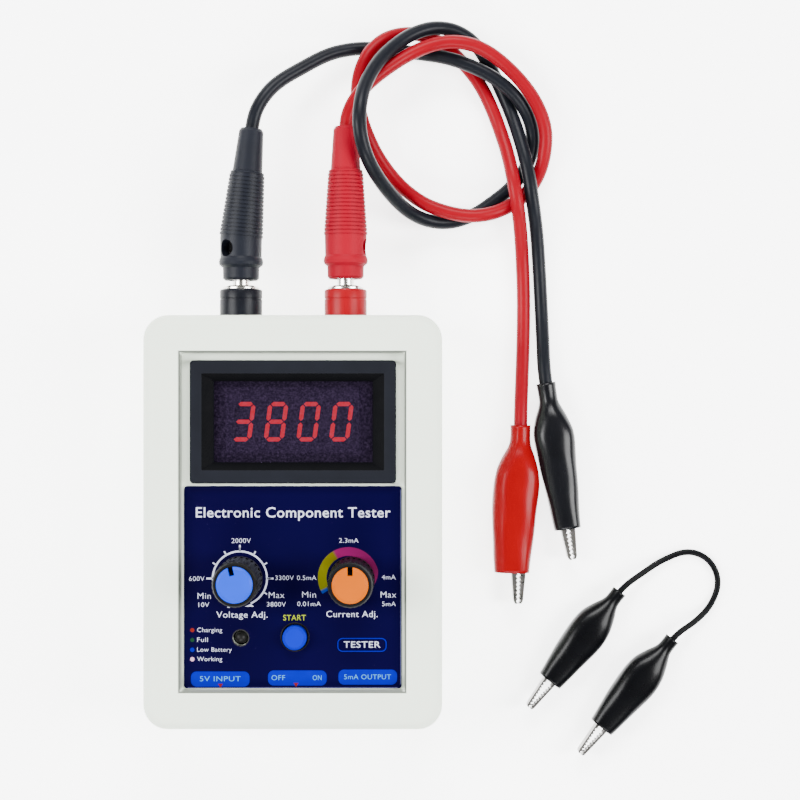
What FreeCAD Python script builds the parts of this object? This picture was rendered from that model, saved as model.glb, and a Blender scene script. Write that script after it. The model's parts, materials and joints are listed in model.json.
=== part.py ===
import FreeCAD, Part
import math
import os
import Sketcher

V = FreeCAD.Vector
Rot = FreeCAD.Rotation
Place = FreeCAD.Placement
os.makedirs("parts", exist_ok=True)
doc = FreeCAD.newDocument("component_tester")

# Driving dimensions, in millimetres
dims = {
    "case_width": 70.0, "case_length": 97.0, "case_height": 30.0, "case_corner": 5.8,
    "case_edge": 2.5, "wall": 2.2, "parting": 15.0,
    "recess_width": 52.4, "recess_length": 79.0, "recess_depth": 3.0, "floor_thick": 2.0,
    "panel_width": 51.0, "panel_length": 47.4, "panel_thick": 0.6, "panel_y": -15.25,
    "bezel_width": 48.2, "bezel_length": 28.8, "bezel_thick": 2.6, "meter_y": 23.5,
    "housing_width": 44.2, "housing_length": 25.8, "board_thick": 1.6,
    "knob_radius": 5.4, "cap_radius": 4.16, "shaft_radius": 2.95, "button_radius": 2.8,
    "socket_radius": 5.1, "socket_z": 15.0, "sleeve_bore": 2.05, "cord_dia": 3.3, "thin_cord_dia": 1.5,
}
sheet = doc.addObject("Spreadsheet::Sheet", "Dimensions")
for row, (alias, value) in enumerate(dims.items(), start=1):
    sheet.set("A%d" % row, alias)
    sheet.set("B%d" % row, str(value))
    sheet.setAlias("B%d" % row, alias)
doc.recompute()
D = type("Dims", (), dims)
exports = []


def bind(obj, **props):
    """Each property is a number or an expression in sheet aliases."""
    for prop, value in props.items():
        if isinstance(value, str):
            for alias in sorted(dims, key=len, reverse=True):
                value = value.replace(alias, "<<%s>>" % alias)
            value = value.replace("<<", "Dimensions.").replace(">>", "")
            obj.setExpression(prop, value)
        else:
            setattr(obj, prop, value)
    return obj


def export(obj, node):
    obj.Label = node
    exports.append((obj, node))
    return obj


def cyl(name, r, h, at=(0, 0, 0), axis=(0, 0, 1)):
    obj = bind(doc.addObject("Part::Cylinder", name), Radius=r, Height=h)
    obj.Placement = Place(V(*at), Rot(V(0, 0, 1), V(*axis)))
    return obj


def cone(name, r1, r2, h, at=(0, 0, 0), axis=(0, 0, 1)):
    obj = bind(doc.addObject("Part::Cone", name), Radius1=r1, Radius2=r2, Height=h)
    obj.Placement = Place(V(*at), Rot(V(0, 0, 1), V(*axis)))
    return obj


def box(name, cx, cy, z, w, l, h):
    obj = bind(doc.addObject("Part::Box", name), Length=w, Width=l, Height=h)
    width = w if not isinstance(w, str) else dims[w]
    length = l if not isinstance(l, str) else dims[l]
    obj.Placement = Place(V(cx - width / 2, cy - length / 2, z), Rot())
    return obj


def fuse(name, *objs):
    obj = doc.addObject("Part::MultiFuse", name)
    obj.Shapes = list(objs)
    return obj


def group(name, *objs):
    obj = doc.addObject("Part::Compound", name)
    obj.Links = list(objs)
    return obj


def cut(name, base, *tools):
    obj = doc.addObject("Part::Cut", name)
    obj.Base = base
    obj.Tool = tools[0] if len(tools) == 1 else fuse(name + "_tools", *tools)
    return obj


def feature(name, shape):
    obj = doc.addObject("Part::Feature", name)
    obj.Shape = shape
    return obj


def polygon_solid(points, height, z=0.0):
    wire = Part.makePolygon([V(x, y, z) for x, y in points] + [V(points[0][0], points[0][1], z)])
    return Part.Face(wire).extrude(V(0, 0, height))


def revolved(points, base, axis):
    """Solid of revolution: points are (radius, along), turned about the axis through base."""
    wire = Part.makePolygon([V(r, 0, a) for r, a in points] + [V(points[0][0], 0, points[0][1])])
    solid = Part.Face(wire).revolve(V(0, 0, 0), V(0, 0, 1), 360)
    solid.Placement = Place(V(*base), Rot(V(0, 0, 1), V(*axis)))
    return solid


# PartDesign helpers
def new_body(name):
    return doc.addObject("PartDesign::Body", name)


def sketch_on(body, name, height=0.0, role="XY_Plane"):
    sk = body.newObject("Sketcher::SketchObject", name)
    plane = next(f for f in body.Origin.OriginFeatures if f.Role == role)
    sk.AttachmentSupport = [(plane, "")]
    sk.MapMode = "FlatFace"
    sk.AttachmentOffset = Place(V(0, 0, height), Rot())
    return sk


def constrain(sk, constraint, value):
    index = sk.addConstraint(constraint)
    if isinstance(value, str):
        for alias in sorted(dims, key=len, reverse=True):
            value = value.replace(alias, "<<%s>>" % alias)
        value = value.replace("<<", "Dimensions.").replace(">>", "")
        sk.setExpression("Constraints[%d]" % index, value)
    return index


def number(value):
    """Size of a sketch side given as a number, an alias or 'alias - number'."""
    if not isinstance(value, str):
        return value
    alias, _, less = value.partition(" - ")
    return dims[alias] - float(less or 0)


def add_rect(sk, cx, cy, w, l):
    wv, lv = number(w), number(l)
    x0, y0, x1, y1 = cx - wv / 2, cy - lv / 2, cx + wv / 2, cy + lv / 2
    pts = [V(x0, y0, 0), V(x1, y0, 0), V(x1, y1, 0), V(x0, y1, 0)]
    first = sk.GeometryCount
    for i in range(4):
        sk.addGeometry(Part.LineSegment(pts[i], pts[(i + 1) % 4]), False)
    for i in range(4):
        sk.addConstraint(Sketcher.Constraint("Coincident", first + i, 2, first + (i + 1) % 4, 1))
    for i in (0, 2):
        sk.addConstraint(Sketcher.Constraint("Horizontal", first + i))
        sk.addConstraint(Sketcher.Constraint("Vertical", first + i + 1))
    constrain(sk, Sketcher.Constraint("DistanceX", first, 1, first, 2, wv), w)
    constrain(sk, Sketcher.Constraint("DistanceY", first + 1, 1, first + 1, 2, lv), l)
    wx = "(%s) / 2" % w if isinstance(w, str) else str(wv / 2)
    ly = "(%s) / 2" % l if isinstance(l, str) else str(lv / 2)
    constrain(sk, Sketcher.Constraint("DistanceX", -1, 1, first + 1, 1, x1), "%s + %s" % (cx, wx))
    constrain(sk, Sketcher.Constraint("DistanceY", -1, 1, first + 2, 1, y1), "%s + %s" % (cy, ly))


def add_circle(sk, cx, cy, r):
    rv = number(r)
    index = sk.addGeometry(Part.Circle(V(cx, cy, 0), V(0, 0, 1), rv), False)
    constrain(sk, Sketcher.Constraint("Radius", index, rv), r)
    if abs(cx) > 1e-6:
        sk.addConstraint(Sketcher.Constraint("DistanceX", -1, 1, index, 3, cx))
    if abs(cy) > 1e-6:
        sk.addConstraint(Sketcher.Constraint("DistanceY", -1, 1, index, 3, cy))


def pad(body, sk, name, length):
    f = body.newObject("PartDesign::Pad", name)
    f.Profile = sk
    bind(f, Length=length)
    return f


def pocket(body, sk, name, depth, up=False):
    f = body.newObject("PartDesign::Pocket", name)
    f.Profile = sk
    bind(f, Length=depth)
    f.Reversed = up
    doc.recompute()
    before = f.BaseFeature.Shape.Volume
    print("pocket %-26s removed %.1f mm3" % (name, before - f.Shape.Volume))
    return f


def fillet(body, base, name, radius, wanted):
    doc.recompute()
    edges = ["Edge%d" % (i + 1) for i, e in enumerate(base.Shape.Edges) if wanted(e)]
    f = body.newObject("PartDesign::Fillet", name)
    f.Base = (base, edges)
    bind(f, Radius=radius)
    doc.recompute()
    return f


def upright(e):
    b = e.BoundBox
    return b.ZLength > 1 and b.XLength < 0.01 and b.YLength < 0.01


def at_height(z):
    return lambda e: abs(e.BoundBox.ZMin - z) < 0.01 and abs(e.BoundBox.ZMax - z) < 0.01


corners = [(sx * 30.4, sy * 43.9) for sx in (-1, 1) for sy in (-1, 1)]
board_posts = [(sx * 22.0, y) for sx in (-1, 1) for y in (-36.0, 28.0)]
sockets = {"black": -13.2, "red": 12.0}
dials = {"voltage": (-12.4, -13.3), "current": (13.8, -13.4)}
button_at = (0.5, -26.9)
led_at = (-12.2, -27.1)
meter_x = 0.1
floor_top = D.case_height - D.recess_depth
floor_low = floor_top - D.floor_thick
panel_top = floor_top + D.panel_thick
board_low = 9.0
board_top = board_low + D.board_thick

# Front cover: rounded shell with a raised rim round the recess
b = new_body("FrontBody")
s = sketch_on(b, "FrontOutline", D.parting)
add_rect(s, 0, 0, "case_width", "case_length")
f = pad(b, s, "FrontPad", "case_height - parting")
f = fillet(b, f, "FrontCorners", "case_corner", upright)
f = fillet(b, f, "FrontEdge", "case_edge", at_height(D.case_height))
f = fillet(b, f, "FrontSeam", 0.35, at_height(D.parting))
s = sketch_on(b, "FrontInside", D.parting)
add_rect(s, 0, 0, "case_width - 4.4", "case_length - 4.4")
pocket(b, s, "FrontCavity", floor_low - D.parting, up=True)
s = sketch_on(b, "FrontBosses", D.parting)
for x, y in corners:
    add_circle(s, x, y, 2.8)
pad(b, s, "FrontBossPad", floor_low - D.parting + 0.5)
s = sketch_on(b, "FrontPilots", D.parting)
for x, y in corners:
    add_circle(s, x, y, 1.2)
pocket(b, s, "FrontPilotHoles", 8.0, up=True)
s = sketch_on(b, "RecessOutline", D.case_height)
add_rect(s, 0, 0.2, "recess_width", "recess_length")
f = pocket(b, s, "Recess", "recess_depth")
f = fillet(b, f, "RecessCorners", 0.8, lambda e: upright(e) and abs(e.BoundBox.Center.x) < 27
           and abs(e.BoundBox.Center.y) < 40.5)
fillet(b, f, "RecessLip", 0.5, lambda e: at_height(D.case_height)(e)
       and abs(e.BoundBox.Center.x) < 27 and abs(e.BoundBox.Center.y) < 40.5 and e.Length > 40)
s = sketch_on(b, "FloorOpenings", floor_top)
add_rect(s, meter_x, D.meter_y, 44.6, 26.2)
for x, y in dials.values():
    add_circle(s, x, y, 3.6)
add_circle(s, button_at[0], button_at[1], 3.4)
add_circle(s, led_at[0], led_at[1], 1.85)
pocket(b, s, "FloorCutouts", "floor_thick + 0.0")
bores = [cyl("FrontBore_" + k, 4.05, 6, (x, 44, D.socket_z), (0, 1, 0)) for k, x in sockets.items()]
export(cut("FrontCover", b, *bores), "front_cover")

# Rear cover: tray with screw posts, board posts and the two end-face slots
b = new_body("RearBody")
s = sketch_on(b, "RearOutline")
add_rect(s, 0, 0, "case_width", "case_length")
f = pad(b, s, "RearPad", "parting")
f = fillet(b, f, "RearCorners", "case_corner", upright)
f = fillet(b, f, "RearEdge", 1.6, at_height(0))
f = fillet(b, f, "RearSeam", 0.35, at_height(D.parting))
s = sketch_on(b, "RearInside", D.parting)
add_rect(s, 0, 0, "case_width - 4.4", "case_length - 4.4")
pocket(b, s, "RearCavity", "parting - 2.2")
s = sketch_on(b, "RearPosts", 1.0)
for x, y in corners:
    add_circle(s, x, y, 2.8)
pad(b, s, "RearPostPad", "parting - 1.0")
s = sketch_on(b, "BoardPosts", 1.0)
for x, y in board_posts:
    add_circle(s, x, y, 2.2)
pad(b, s, "BoardPostPad", board_low - 1.0)
s = sketch_on(b, "RearScrewHoles", D.parting)
for x, y in corners:
    add_circle(s, x, y, 1.4)
pocket(b, s, "RearThrough", "parting + 0.0")
s = sketch_on(b, "RearHeadHoles")
for x, y in corners:
    add_circle(s, x, y, 2.6)
pocket(b, s, "RearCounterbores", 2.0, up=True)
s = sketch_on(b, "BoardPilots", board_low)
for x, y in board_posts:
    add_circle(s, x, y, 0.9)
pocket(b, s, "BoardPilotHoles", 5.0)
usb_x, usb_z = -16.9, board_top + 1.6
switch_x, switch_z = 0.6, board_top + 1.8
end_y = -D.case_length / 2
bores = [cyl("RearBore_" + k, 4.05, 6, (x, 44, D.socket_z), (0, 1, 0)) for k, x in sockets.items()]
slot = fuse("UsbSlot", box("UsbSlotMid", usb_x, end_y, usb_z - 1.75, 5.9, 8, 3.5),
            cyl("UsbSlotA", 1.75, 8, (usb_x - 2.95, end_y - 4, usb_z), (0, 1, 0)),
            cyl("UsbSlotB", 1.75, 8, (usb_x + 2.95, end_y - 4, usb_z), (0, 1, 0)))
bores += [slot, box("SwitchSlot", switch_x, end_y, switch_z - 1.2, 5.6, 8, 2.4)]
export(cut("RearCover", b, *bores), "rear_cover")

# Printed front panel
b = new_body("PanelBody")
s = sketch_on(b, "PanelOutline", floor_top)
add_rect(s, 0, D.panel_y, "panel_width", "panel_length")
f = pad(b, s, "PanelPad", "panel_thick")
fillet(b, f, "PanelCorners", 0.8, lambda e: e.BoundBox.XLength < 0.01 and e.BoundBox.YLength < 0.01)
s = sketch_on(b, "PanelHoles", panel_top)
for x, y in dials.values():
    add_circle(s, x, y, 3.6)
add_circle(s, button_at[0], button_at[1], 3.4)
add_circle(s, led_at[0], led_at[1], 1.85)
pocket(b, s, "PanelCutouts", "panel_thick + 0.0")
export(b, "control_panel")

# Panel meter: bezel with housing, filter window, LED module and its board
frame = box("BezelFrame", meter_x, D.meter_y, floor_top, "bezel_width", "bezel_length", "bezel_thick")
can = box("MeterCan", meter_x, D.meter_y, 16.5, "housing_width", "housing_length", floor_top - 16.5)
hollow = box("MeterHollow", meter_x, D.meter_y, 16.0, 41.8, 23.4, 11.2)
sight = box("MeterSight", meter_x, D.meter_y, 27.0, 37.2, 19.0, 3.0)
slope = doc.addObject("Part::Wedge", "MeterSlope")
slope.Xmin, slope.Xmax, slope.Zmin, slope.Zmax = -18.6, 18.6, -9.5, 9.5
slope.Ymin, slope.Ymax = 0.0, 1.31
slope.X2min, slope.X2max, slope.Z2min, slope.Z2max = -21.3, 21.3, -11.3, 11.3
slope.Placement = Place(V(meter_x, D.meter_y, floor_top + D.bezel_thick - 1.3), Rot(V(1, 0, 0), 90))
export(cut("MeterBezel", fuse("MeterShell", frame, can), hollow, sight, slope), "meter_bezel")
export(box("MeterWindow", meter_x, D.meter_y, 26.15, 38.8, 20.4, 1.0), "meter_window")
export(box("LedDisplay", -0.2, D.meter_y + 0.4, 19.45, 31.4, 15.5, 6.5), "led_display")
export(box("MeterBoard", meter_x, D.meter_y, 17.8, 41.0, 22.6, "board_thick"), "meter_board")

# Main board and what stands on it
plate = box("BoardPlate", 0, -4.9, board_low, 52.0, 81.8, "board_thick")
holes = [cyl("BoardHole%d" % i, 1.1, 3, (x, y, board_low - 0.5)) for i, (x, y) in enumerate(board_posts)]
export(cut("MainBoard", plate, *holes), "main_board")
core = box("TransformerCore", 0.6, -2.0, board_top, 13.0, 9.0, 10.5)
bobbin = box("TransformerBobbin", 0.6, -2.0, board_top, 9.0, 12.5, 8.5)
export(fuse("Transformer", core, bobbin), "hv_transformer")
caps = [cyl("Capacitor%d" % i, 3.0, 9.0, (x, y, board_top)) for i, (x, y) in
        enumerate(((-19.5, 2.5), (19.8, 2.5), (-19.5, -28.5)))]
export(group("Capacitors", *caps), "hv_capacitors")
export(box("BatteryCell", 0, -4.0, 2.3, 34.0, 50.0, 6.0), "battery_cell")
lamp = fuse("StatusLamp", cyl("LampBody", 1.5, 4.4, (led_at[0], led_at[1], 21.9)),
            cyl("LampFlange", 1.75, 0.8, (led_at[0], led_at[1], 21.9)),
            cyl("LampLegA", 0.25, 11.5, (led_at[0] - 0.9, led_at[1], board_top)),
            cyl("LampLegB", 0.25, 11.5, (led_at[0] + 0.9, led_at[1], board_top)))
dome = bind(doc.addObject("Part::Sphere", "LampDome"), Radius=1.5)
dome.Placement.Base = V(led_at[0], led_at[1], 26.2)
export(fuse("StatusLed", lamp, dome), "status_led")

# Type-C receptacle
def capsule(name, x, y, z, w, h, length):
    r = h / 2
    return fuse(name, box(name + "_mid", x, y + length / 2, z - r, w - h, length, h),
                cyl(name + "_a", r, length, (x - w / 2 + r, y, z), (0, 1, 0)),
                cyl(name + "_b", r, length, (x + w / 2 - r, y, z), (0, 1, 0)))


shell = cut("UsbShell", capsule("UsbOuter", usb_x, -48.2, usb_z, 8.94, 3.2, 7.4),
            capsule("UsbInner", usb_x, -48.3, usb_z, 8.34, 2.6, 6.6))
tongue = box("UsbTongue", usb_x, -44.6, usb_z - 0.35, 6.7, 6.0, 0.7)
foot = box("UsbFoot", usb_x, -43.0, board_top, 6.0, 4.4, 0.3)
export(fuse("UsbSocket", shell, tongue, foot), "usb_socket")

# Slide switch: fixed frame and moving lever
frame = cut("SwitchShell", box("SwitchOuter", switch_x, -44.1, board_top, 9.0, 4.2, 3.6),
            box("SwitchTrack", switch_x, -44.8, switch_z - 1.0, 5.6, 4.2, 2.0))
export(frame, "power_switch")
lever_x = switch_x + 1.2
export(box("PowerLever", lever_x, -47.1, switch_z - 0.9, 2.6, 5.0, 1.8), "power_slider")

# Potentiometers, knobs and caps
nuts = []
for name, (x, y) in dials.items():
    can = fuse(name + "_can", box(name + "_box", x, y - 0.6, 18.4, 9.8, 11.0, 6.5),
               cyl(name + "_bushing", 3.4, 4.1, (x, y, 24.7)))
    export(cut(name + "_pot", can, cyl(name + "_potbore", "shaft_radius + 0.05", 12, (x, y, 19.0))),
           name + "_potentiometer")
    ring = feature(name + "_nuthex", Part.Face(Part.makePolygon(
        [V(x + 4.6 * math.cos(a * math.pi / 3), y + 4.6 * math.sin(a * math.pi / 3), panel_top)
         for a in range(7)])).extrude(V(0, 0, 1.0)))
    nuts.append(cut(name + "_nut", ring, cyl(name + "_nuthole", 3.45, 3, (x, y, 27))))
    shaft = cyl(name + "_rod", "shaft_radius", 18.8, (x, y, 19.2))
    flat = box(name + "_flat", x, y + 3.4, 33.0, 6.0, 1.8, 6.0)
    export(cut(name + "_shaft", shaft, flat), name + "_shaft")

    b = new_body(name.capitalize() + "KnobBody")
    sk = b.newObject("Sketcher::SketchObject", name + "_profile")
    plane = next(o for o in b.Origin.OriginFeatures if o.Role == "XZ_Plane")
    sk.AttachmentSupport = [(plane, "")]
    sk.MapMode = "FlatFace"
    rk = D.knob_radius
    profile = [(0, 38.05), (0, 41.0), (4.2, 41.0), (4.2, 42.0), (4.85, 42.0), (rk - 0.2, 41.5),
               (rk, 29.4), (rk, 28.1), (4.75, 28.1), (4.75, 29.6), (2.97, 29.6), (2.97, 38.05)]
    for i in range(len(profile)):
        p, q = profile[i], profile[(i + 1) % len(profile)]
        sk.addGeometry(Part.LineSegment(V(p[0], p[1], 0), V(q[0], q[1], 0)), False)
    for i in range(len(profile)):
        sk.addConstraint(Sketcher.Constraint("Coincident", i, 2, (i + 1) % len(profile), 1))
    turn = b.newObject("PartDesign::Revolution", name + "_turn")
    turn.Profile = sk
    turn.ReferenceAxis = (sk, ["V_Axis"])
    turn.Angle = 360
    doc.recompute()
    s = sketch_on(b, name + "_flute", 42.5)
    add_circle(s, rk + 0.12, 0, 0.42)
    flute = pocket(b, s, name + "_flute_cut", 12.4)
    ring = b.newObject("PartDesign::PolarPattern", name + "_flutes")
    ring.Originals = [flute]
    ring.Axis = (s, ["N_Axis"])
    ring.Angle = 360
    ring.Occurrences = 26
    b.Tip = ring
    b.Placement.Base = V(x, y, 0)
    export(b, name + "_knob")

    rest = 14.0 if name == "voltage" else 0.0
    disc = cone(name + "_dome", "cap_radius", 3.5, 0.35, (x, y, 42.3))
    body_ = cyl(name + "_disc", "cap_radius", 1.3, (x, y, 41.0))
    mark = box(name + "_mark", 0, 3.3, 40.5, 1.15, 2.2, 4)
    mark.Placement = Place(V(x, y, 0), Rot(V(0, 0, 1), rest)) * mark.Placement
    export(cut(name + "_cap", fuse(name + "_capraw", disc, body_), mark), name + "_cap")
export(group("PotNuts", *nuts), "potentiometer_nuts")

# Start button
bx, by = button_at
base = box("SwitchBase", bx, by, board_top, 6.2, 6.2, 3.6)
export(cut("StartSwitch", base, cyl("StartWell", 1.65, 5, (bx, by, board_top + 0.8))), "start_switch")
cap = fuse("StartCap", cyl("StartStem", 1.6, 12.6, (bx, by, 12.4)),
           cyl("StartDisc", "button_radius", 4.7, (bx, by, 25.0)),
           cone("StartDome", "button_radius", 2.2, 0.5, (bx, by, 29.7)))
export(cap, "start_button")

# Fasteners
screws = []
for i, (x, y) in enumerate(corners):
    slots = [box("CaseSlot%d_%d" % (i, k), x, y, 0.3, w, l, 0.9) for k, (w, l) in enumerate(((2.6, 0.6), (0.6, 2.6)))]
    screws.append(cut("CaseScrew%d" % i, fuse("CaseScrewRaw%d" % i, cyl("CaseHead%d" % i, 2.3, 1.5, (x, y, 0.4)),
                  cyl("CaseShank%d" % i, 1.15, 18.6, (x, y, 1.8)),
                  cone("CaseTip%d" % i, 1.15, 0.4, 1.2, (x, y, 20.4))), *slots))
export(group("CaseScrews", *screws), "case_screws")
screws = [fuse("BoardScrew%d" % i, cyl("BoardHead%d" % i, 1.9, 1.3, (x, y, board_top)),
               cyl("BoardShank%d" % i, 0.85, 6.0, (x, y, 4.7))) for i, (x, y) in enumerate(board_posts)]
export(group("BoardScrews", *screws), "board_screws")

# 4 mm sockets in the end face
sleeves, rings = [], []
along = (0, 1, 0)
zs = D.socket_z
for name, x in sockets.items():
    outer = cyl(name + "_sock", "socket_radius", 6.7, (x, 48.5, zs), along)
    barrel = cyl(name + "_barrel", 3.95, 5.6, (x, 43.0, zs), along)
    groove = cut(name + "_ringcut", cyl(name + "_ro", 6.0, 0.3, (x, 52.8, zs), along),
                 cyl(name + "_ri", 4.95, 0.3, (x, 52.8, zs), along))
    export(cut(name + "_socket_body", fuse(name + "_sockraw", outer, barrel),
               cyl(name + "_bore", 3.02, 14, (x, 42, zs), along), groove), name + "_socket")
    tube = fuse(name + "_tube", cyl(name + "_sleeve", 3.0, 17.2, (x, 38.5, zs), along),
                cyl(name + "_flange", 4.3, 0.5, (x, 55.25, zs), along),
                cone(name + "_flare", 4.1, 3.2, 0.4, (x, 55.75, zs), along))
    sleeves.append(cut(name + "_sleevecut", tube, cyl(name + "_sleevebore", "sleeve_bore", 20, (x, 38.0, zs), along)))
    hexa = feature(name + "_hex", Part.Face(Part.makePolygon(
        [V(x + 6.1 * math.cos(a * math.pi / 3), 44.2, zs + 6.1 * math.sin(a * math.pi / 3))
         for a in range(7)])).extrude(V(0, 2.0, 0)))
    rings.append(cut(name + "_hexnut", hexa, cyl(name + "_hexhole", 4.0, 4, (x, 43, zs), along)))
export(group("SocketSleeves", *sleeves), "socket_sleeves")
export(group("SocketNuts", *rings), "socket_nuts")


# Cords: straight runs joined by tangent arcs, swept with a round section
def runs_and_arcs(points, label):
    pts = [V(*p) for p in points]
    edges, here, smallest, place = [], pts[0], 1e9, None
    for a, c, e in zip(pts, pts[1:], pts[2:]):
        u, w = (a - c), (e - c)
        short = min(u.Length, w.Length)
        u.normalize()
        w.normalize()
        turn = math.pi - u.getAngle(w)
        reach = 0.45 * short
        radius = reach / math.tan(turn / 2)
        if radius < smallest:
            smallest, place = radius, c
        p, q = c + u * reach, c + w * reach
        inward = (u + w).normalize()
        middle = c + inward * (radius / math.cos(turn / 2) - radius)
        edges += [Part.LineSegment(here, p).toShape(), Part.Arc(p, middle, q).toShape()]
        here = q
    edges.append(Part.LineSegment(here, pts[-1]).toShape())
    wire = Part.Wire(edges)
    print("%s: length %.1f mm, smallest bend radius %.1f mm at (%.0f, %.0f)"
          % (label, wire.Length, smallest, place.x, place.y))
    return wire


def tube(points, dia, label):
    wire = runs_and_arcs(points, label)
    start = V(*points[1]) - V(*points[0])
    ring = Part.Wire(Part.makeCircle(dia / 2, V(*points[0]), start))
    solid = wire.makePipeShell([ring], True, False)
    ratio = solid.Volume / (math.pi * dia * dia / 4 * wire.Length)
    if abs(ratio - 1) > 0.01 or not solid.isValid():
        raise RuntimeError("%s: tube volume ratio %.3f" % (label, ratio))
    return solid


wires = []
for name, x in sockets.items():
    wires.append(tube([(x, 39.2 - 0.8, zs), (x, 34.4, zs), (x - 2, 31.4, 12.6), (x - 3, 28.4, 11.4)],
                      1.1, name + " output wire"))
for x in (-2.0, 2.0):
    wires.append(tube([(x, 21.3, 5.2), (x, 23.4, 5.2), (x, 25.2, 6.6), (x, 26.2, 8.4)], 1.1, "battery wire"))
export(feature("HookUpWires", Part.makeCompound(wires)), "hook_up_wires")

# Plugs
lean = {"black": math.radians(5.5), "red": 0.0}
collar_y = {"black": 57.4, "red": 57.8}
hole_dir = {"black": (-math.sin(math.radians(43)), 0, math.cos(math.radians(43))),
            "red": (math.cos(math.radians(8)), 0, math.sin(math.radians(8)))}
tails = {}
for name, x in sockets.items():
    y0 = collar_y[name]
    direction = V(math.sin(lean[name]), math.cos(lean[name]), 0)
    knee = V(x, y0 + 10.4, zs)
    tails[name] = (knee, direction)
    front = [(0, 0), (3.9, 0), (4.35, 0.5), (4.4, 3.0), (5.2, 3.7), (5.35, 4.4), (5.2, 5.1), (4.95, 5.6),
             (5.05, 10.4), (0, 10.4)]
    ribs = [(0, -0.6), (5.0, -0.6), (5.0, 0.3)]
    count = 16
    for i in range(count):
        a = 0.3 + i * 15.0 / count
        r = 5.25 - 1.05 * i / count
        ribs += [(r, a), (r, a + 0.56), (r - 0.28, a + 0.56), (r - 0.28, a + 15.0 / count - 0.02)]
    ribs += [(4.1, 15.3), (4.05, 15.7), (3.6, 15.9), (2.95, 25.6), (2.5, 26.3), (0, 26.3)]
    solid = revolved(front, (x, y0, zs), (0, 1, 0)).fuse(revolved(ribs, knee, direction)).removeSplitter()
    core_bore = Part.makeCylinder(2.95, 15.0, V(x, y0 - 0.1, zs), V(0, 1, 0))
    cord_bore = Part.makeCylinder(1.7, 26.0, knee + direction * 1.0, direction)
    h = V(*hole_dir[name])
    cross_at = V(x, y0 + 7.6, zs)
    cross = Part.makeCylinder(2.05, 10.0, cross_at - h * 2.95, h)
    solid = solid.cut(core_bore).cut(cord_bore).cut(cross)
    export(feature(name + "_shell", solid), name + "_plug_shell")
    pin = revolved([(0, -17.6), (0.9, -17.6), (1.35, -16.9), (1.35, 0.2), (2.9, 0.2), (2.9, 14.6), (0, 14.6)],
                   (x, y0, zs), (0, 1, 0)).cut(cross)
    export(feature(name + "_pin", pin), name + "_plug_pin")
    cage = revolved([(1.4, -16.0), (1.7, -16.0), (1.98, -13.0), (1.98, -4.0), (1.98, -0.1), (1.4, -0.1)],
                    (x, y0, zs), (0, 1, 0))
    for k in range(4):
        slit = Part.makeBox(0.5, 11.0, 5.0, V(-0.25, -14.6, 0))
        slit.Placement = Place(V(x, y0, zs), Rot(V(0, 1, 0), 45 + 90 * k))
        cage = cage.cut(slit)
    export(feature(name + "_cage", cage), name + "_plug_spring")


# Alligator clips, built along local X: neck at 0, tip at 44 times the scale
def mirrored(points):
    return [(a, -w) for a, w in points]


def jaw_points(gap, pivot):
    outer = [(9.0, 2.8), (11.5, 3.3), (16.0, 3.1), (22.0, 2.7), (30.0, 2.2), (36.0, 1.75), (43.2, 1.15), (43.9, 0.8)]
    teeth = [(43.9, 0.12)]
    for i in range(9):
        a = 43.2 - i * 1.0
        base = 0.12 + (gap - 0.12) * i / 9
        teeth += [(a, base + 0.45), (a - 0.5, base)]
    inner = [(33.6, gap), (29.0, gap + 0.2), (25.0, 0.1), (24.2, -1.3), (20.0, -1.3), (18.4, 0.6),
             (16.0, 2.3), (11.5, 2.5), (9.0, 2.0)]
    return outer, outer + teeth + inner


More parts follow.
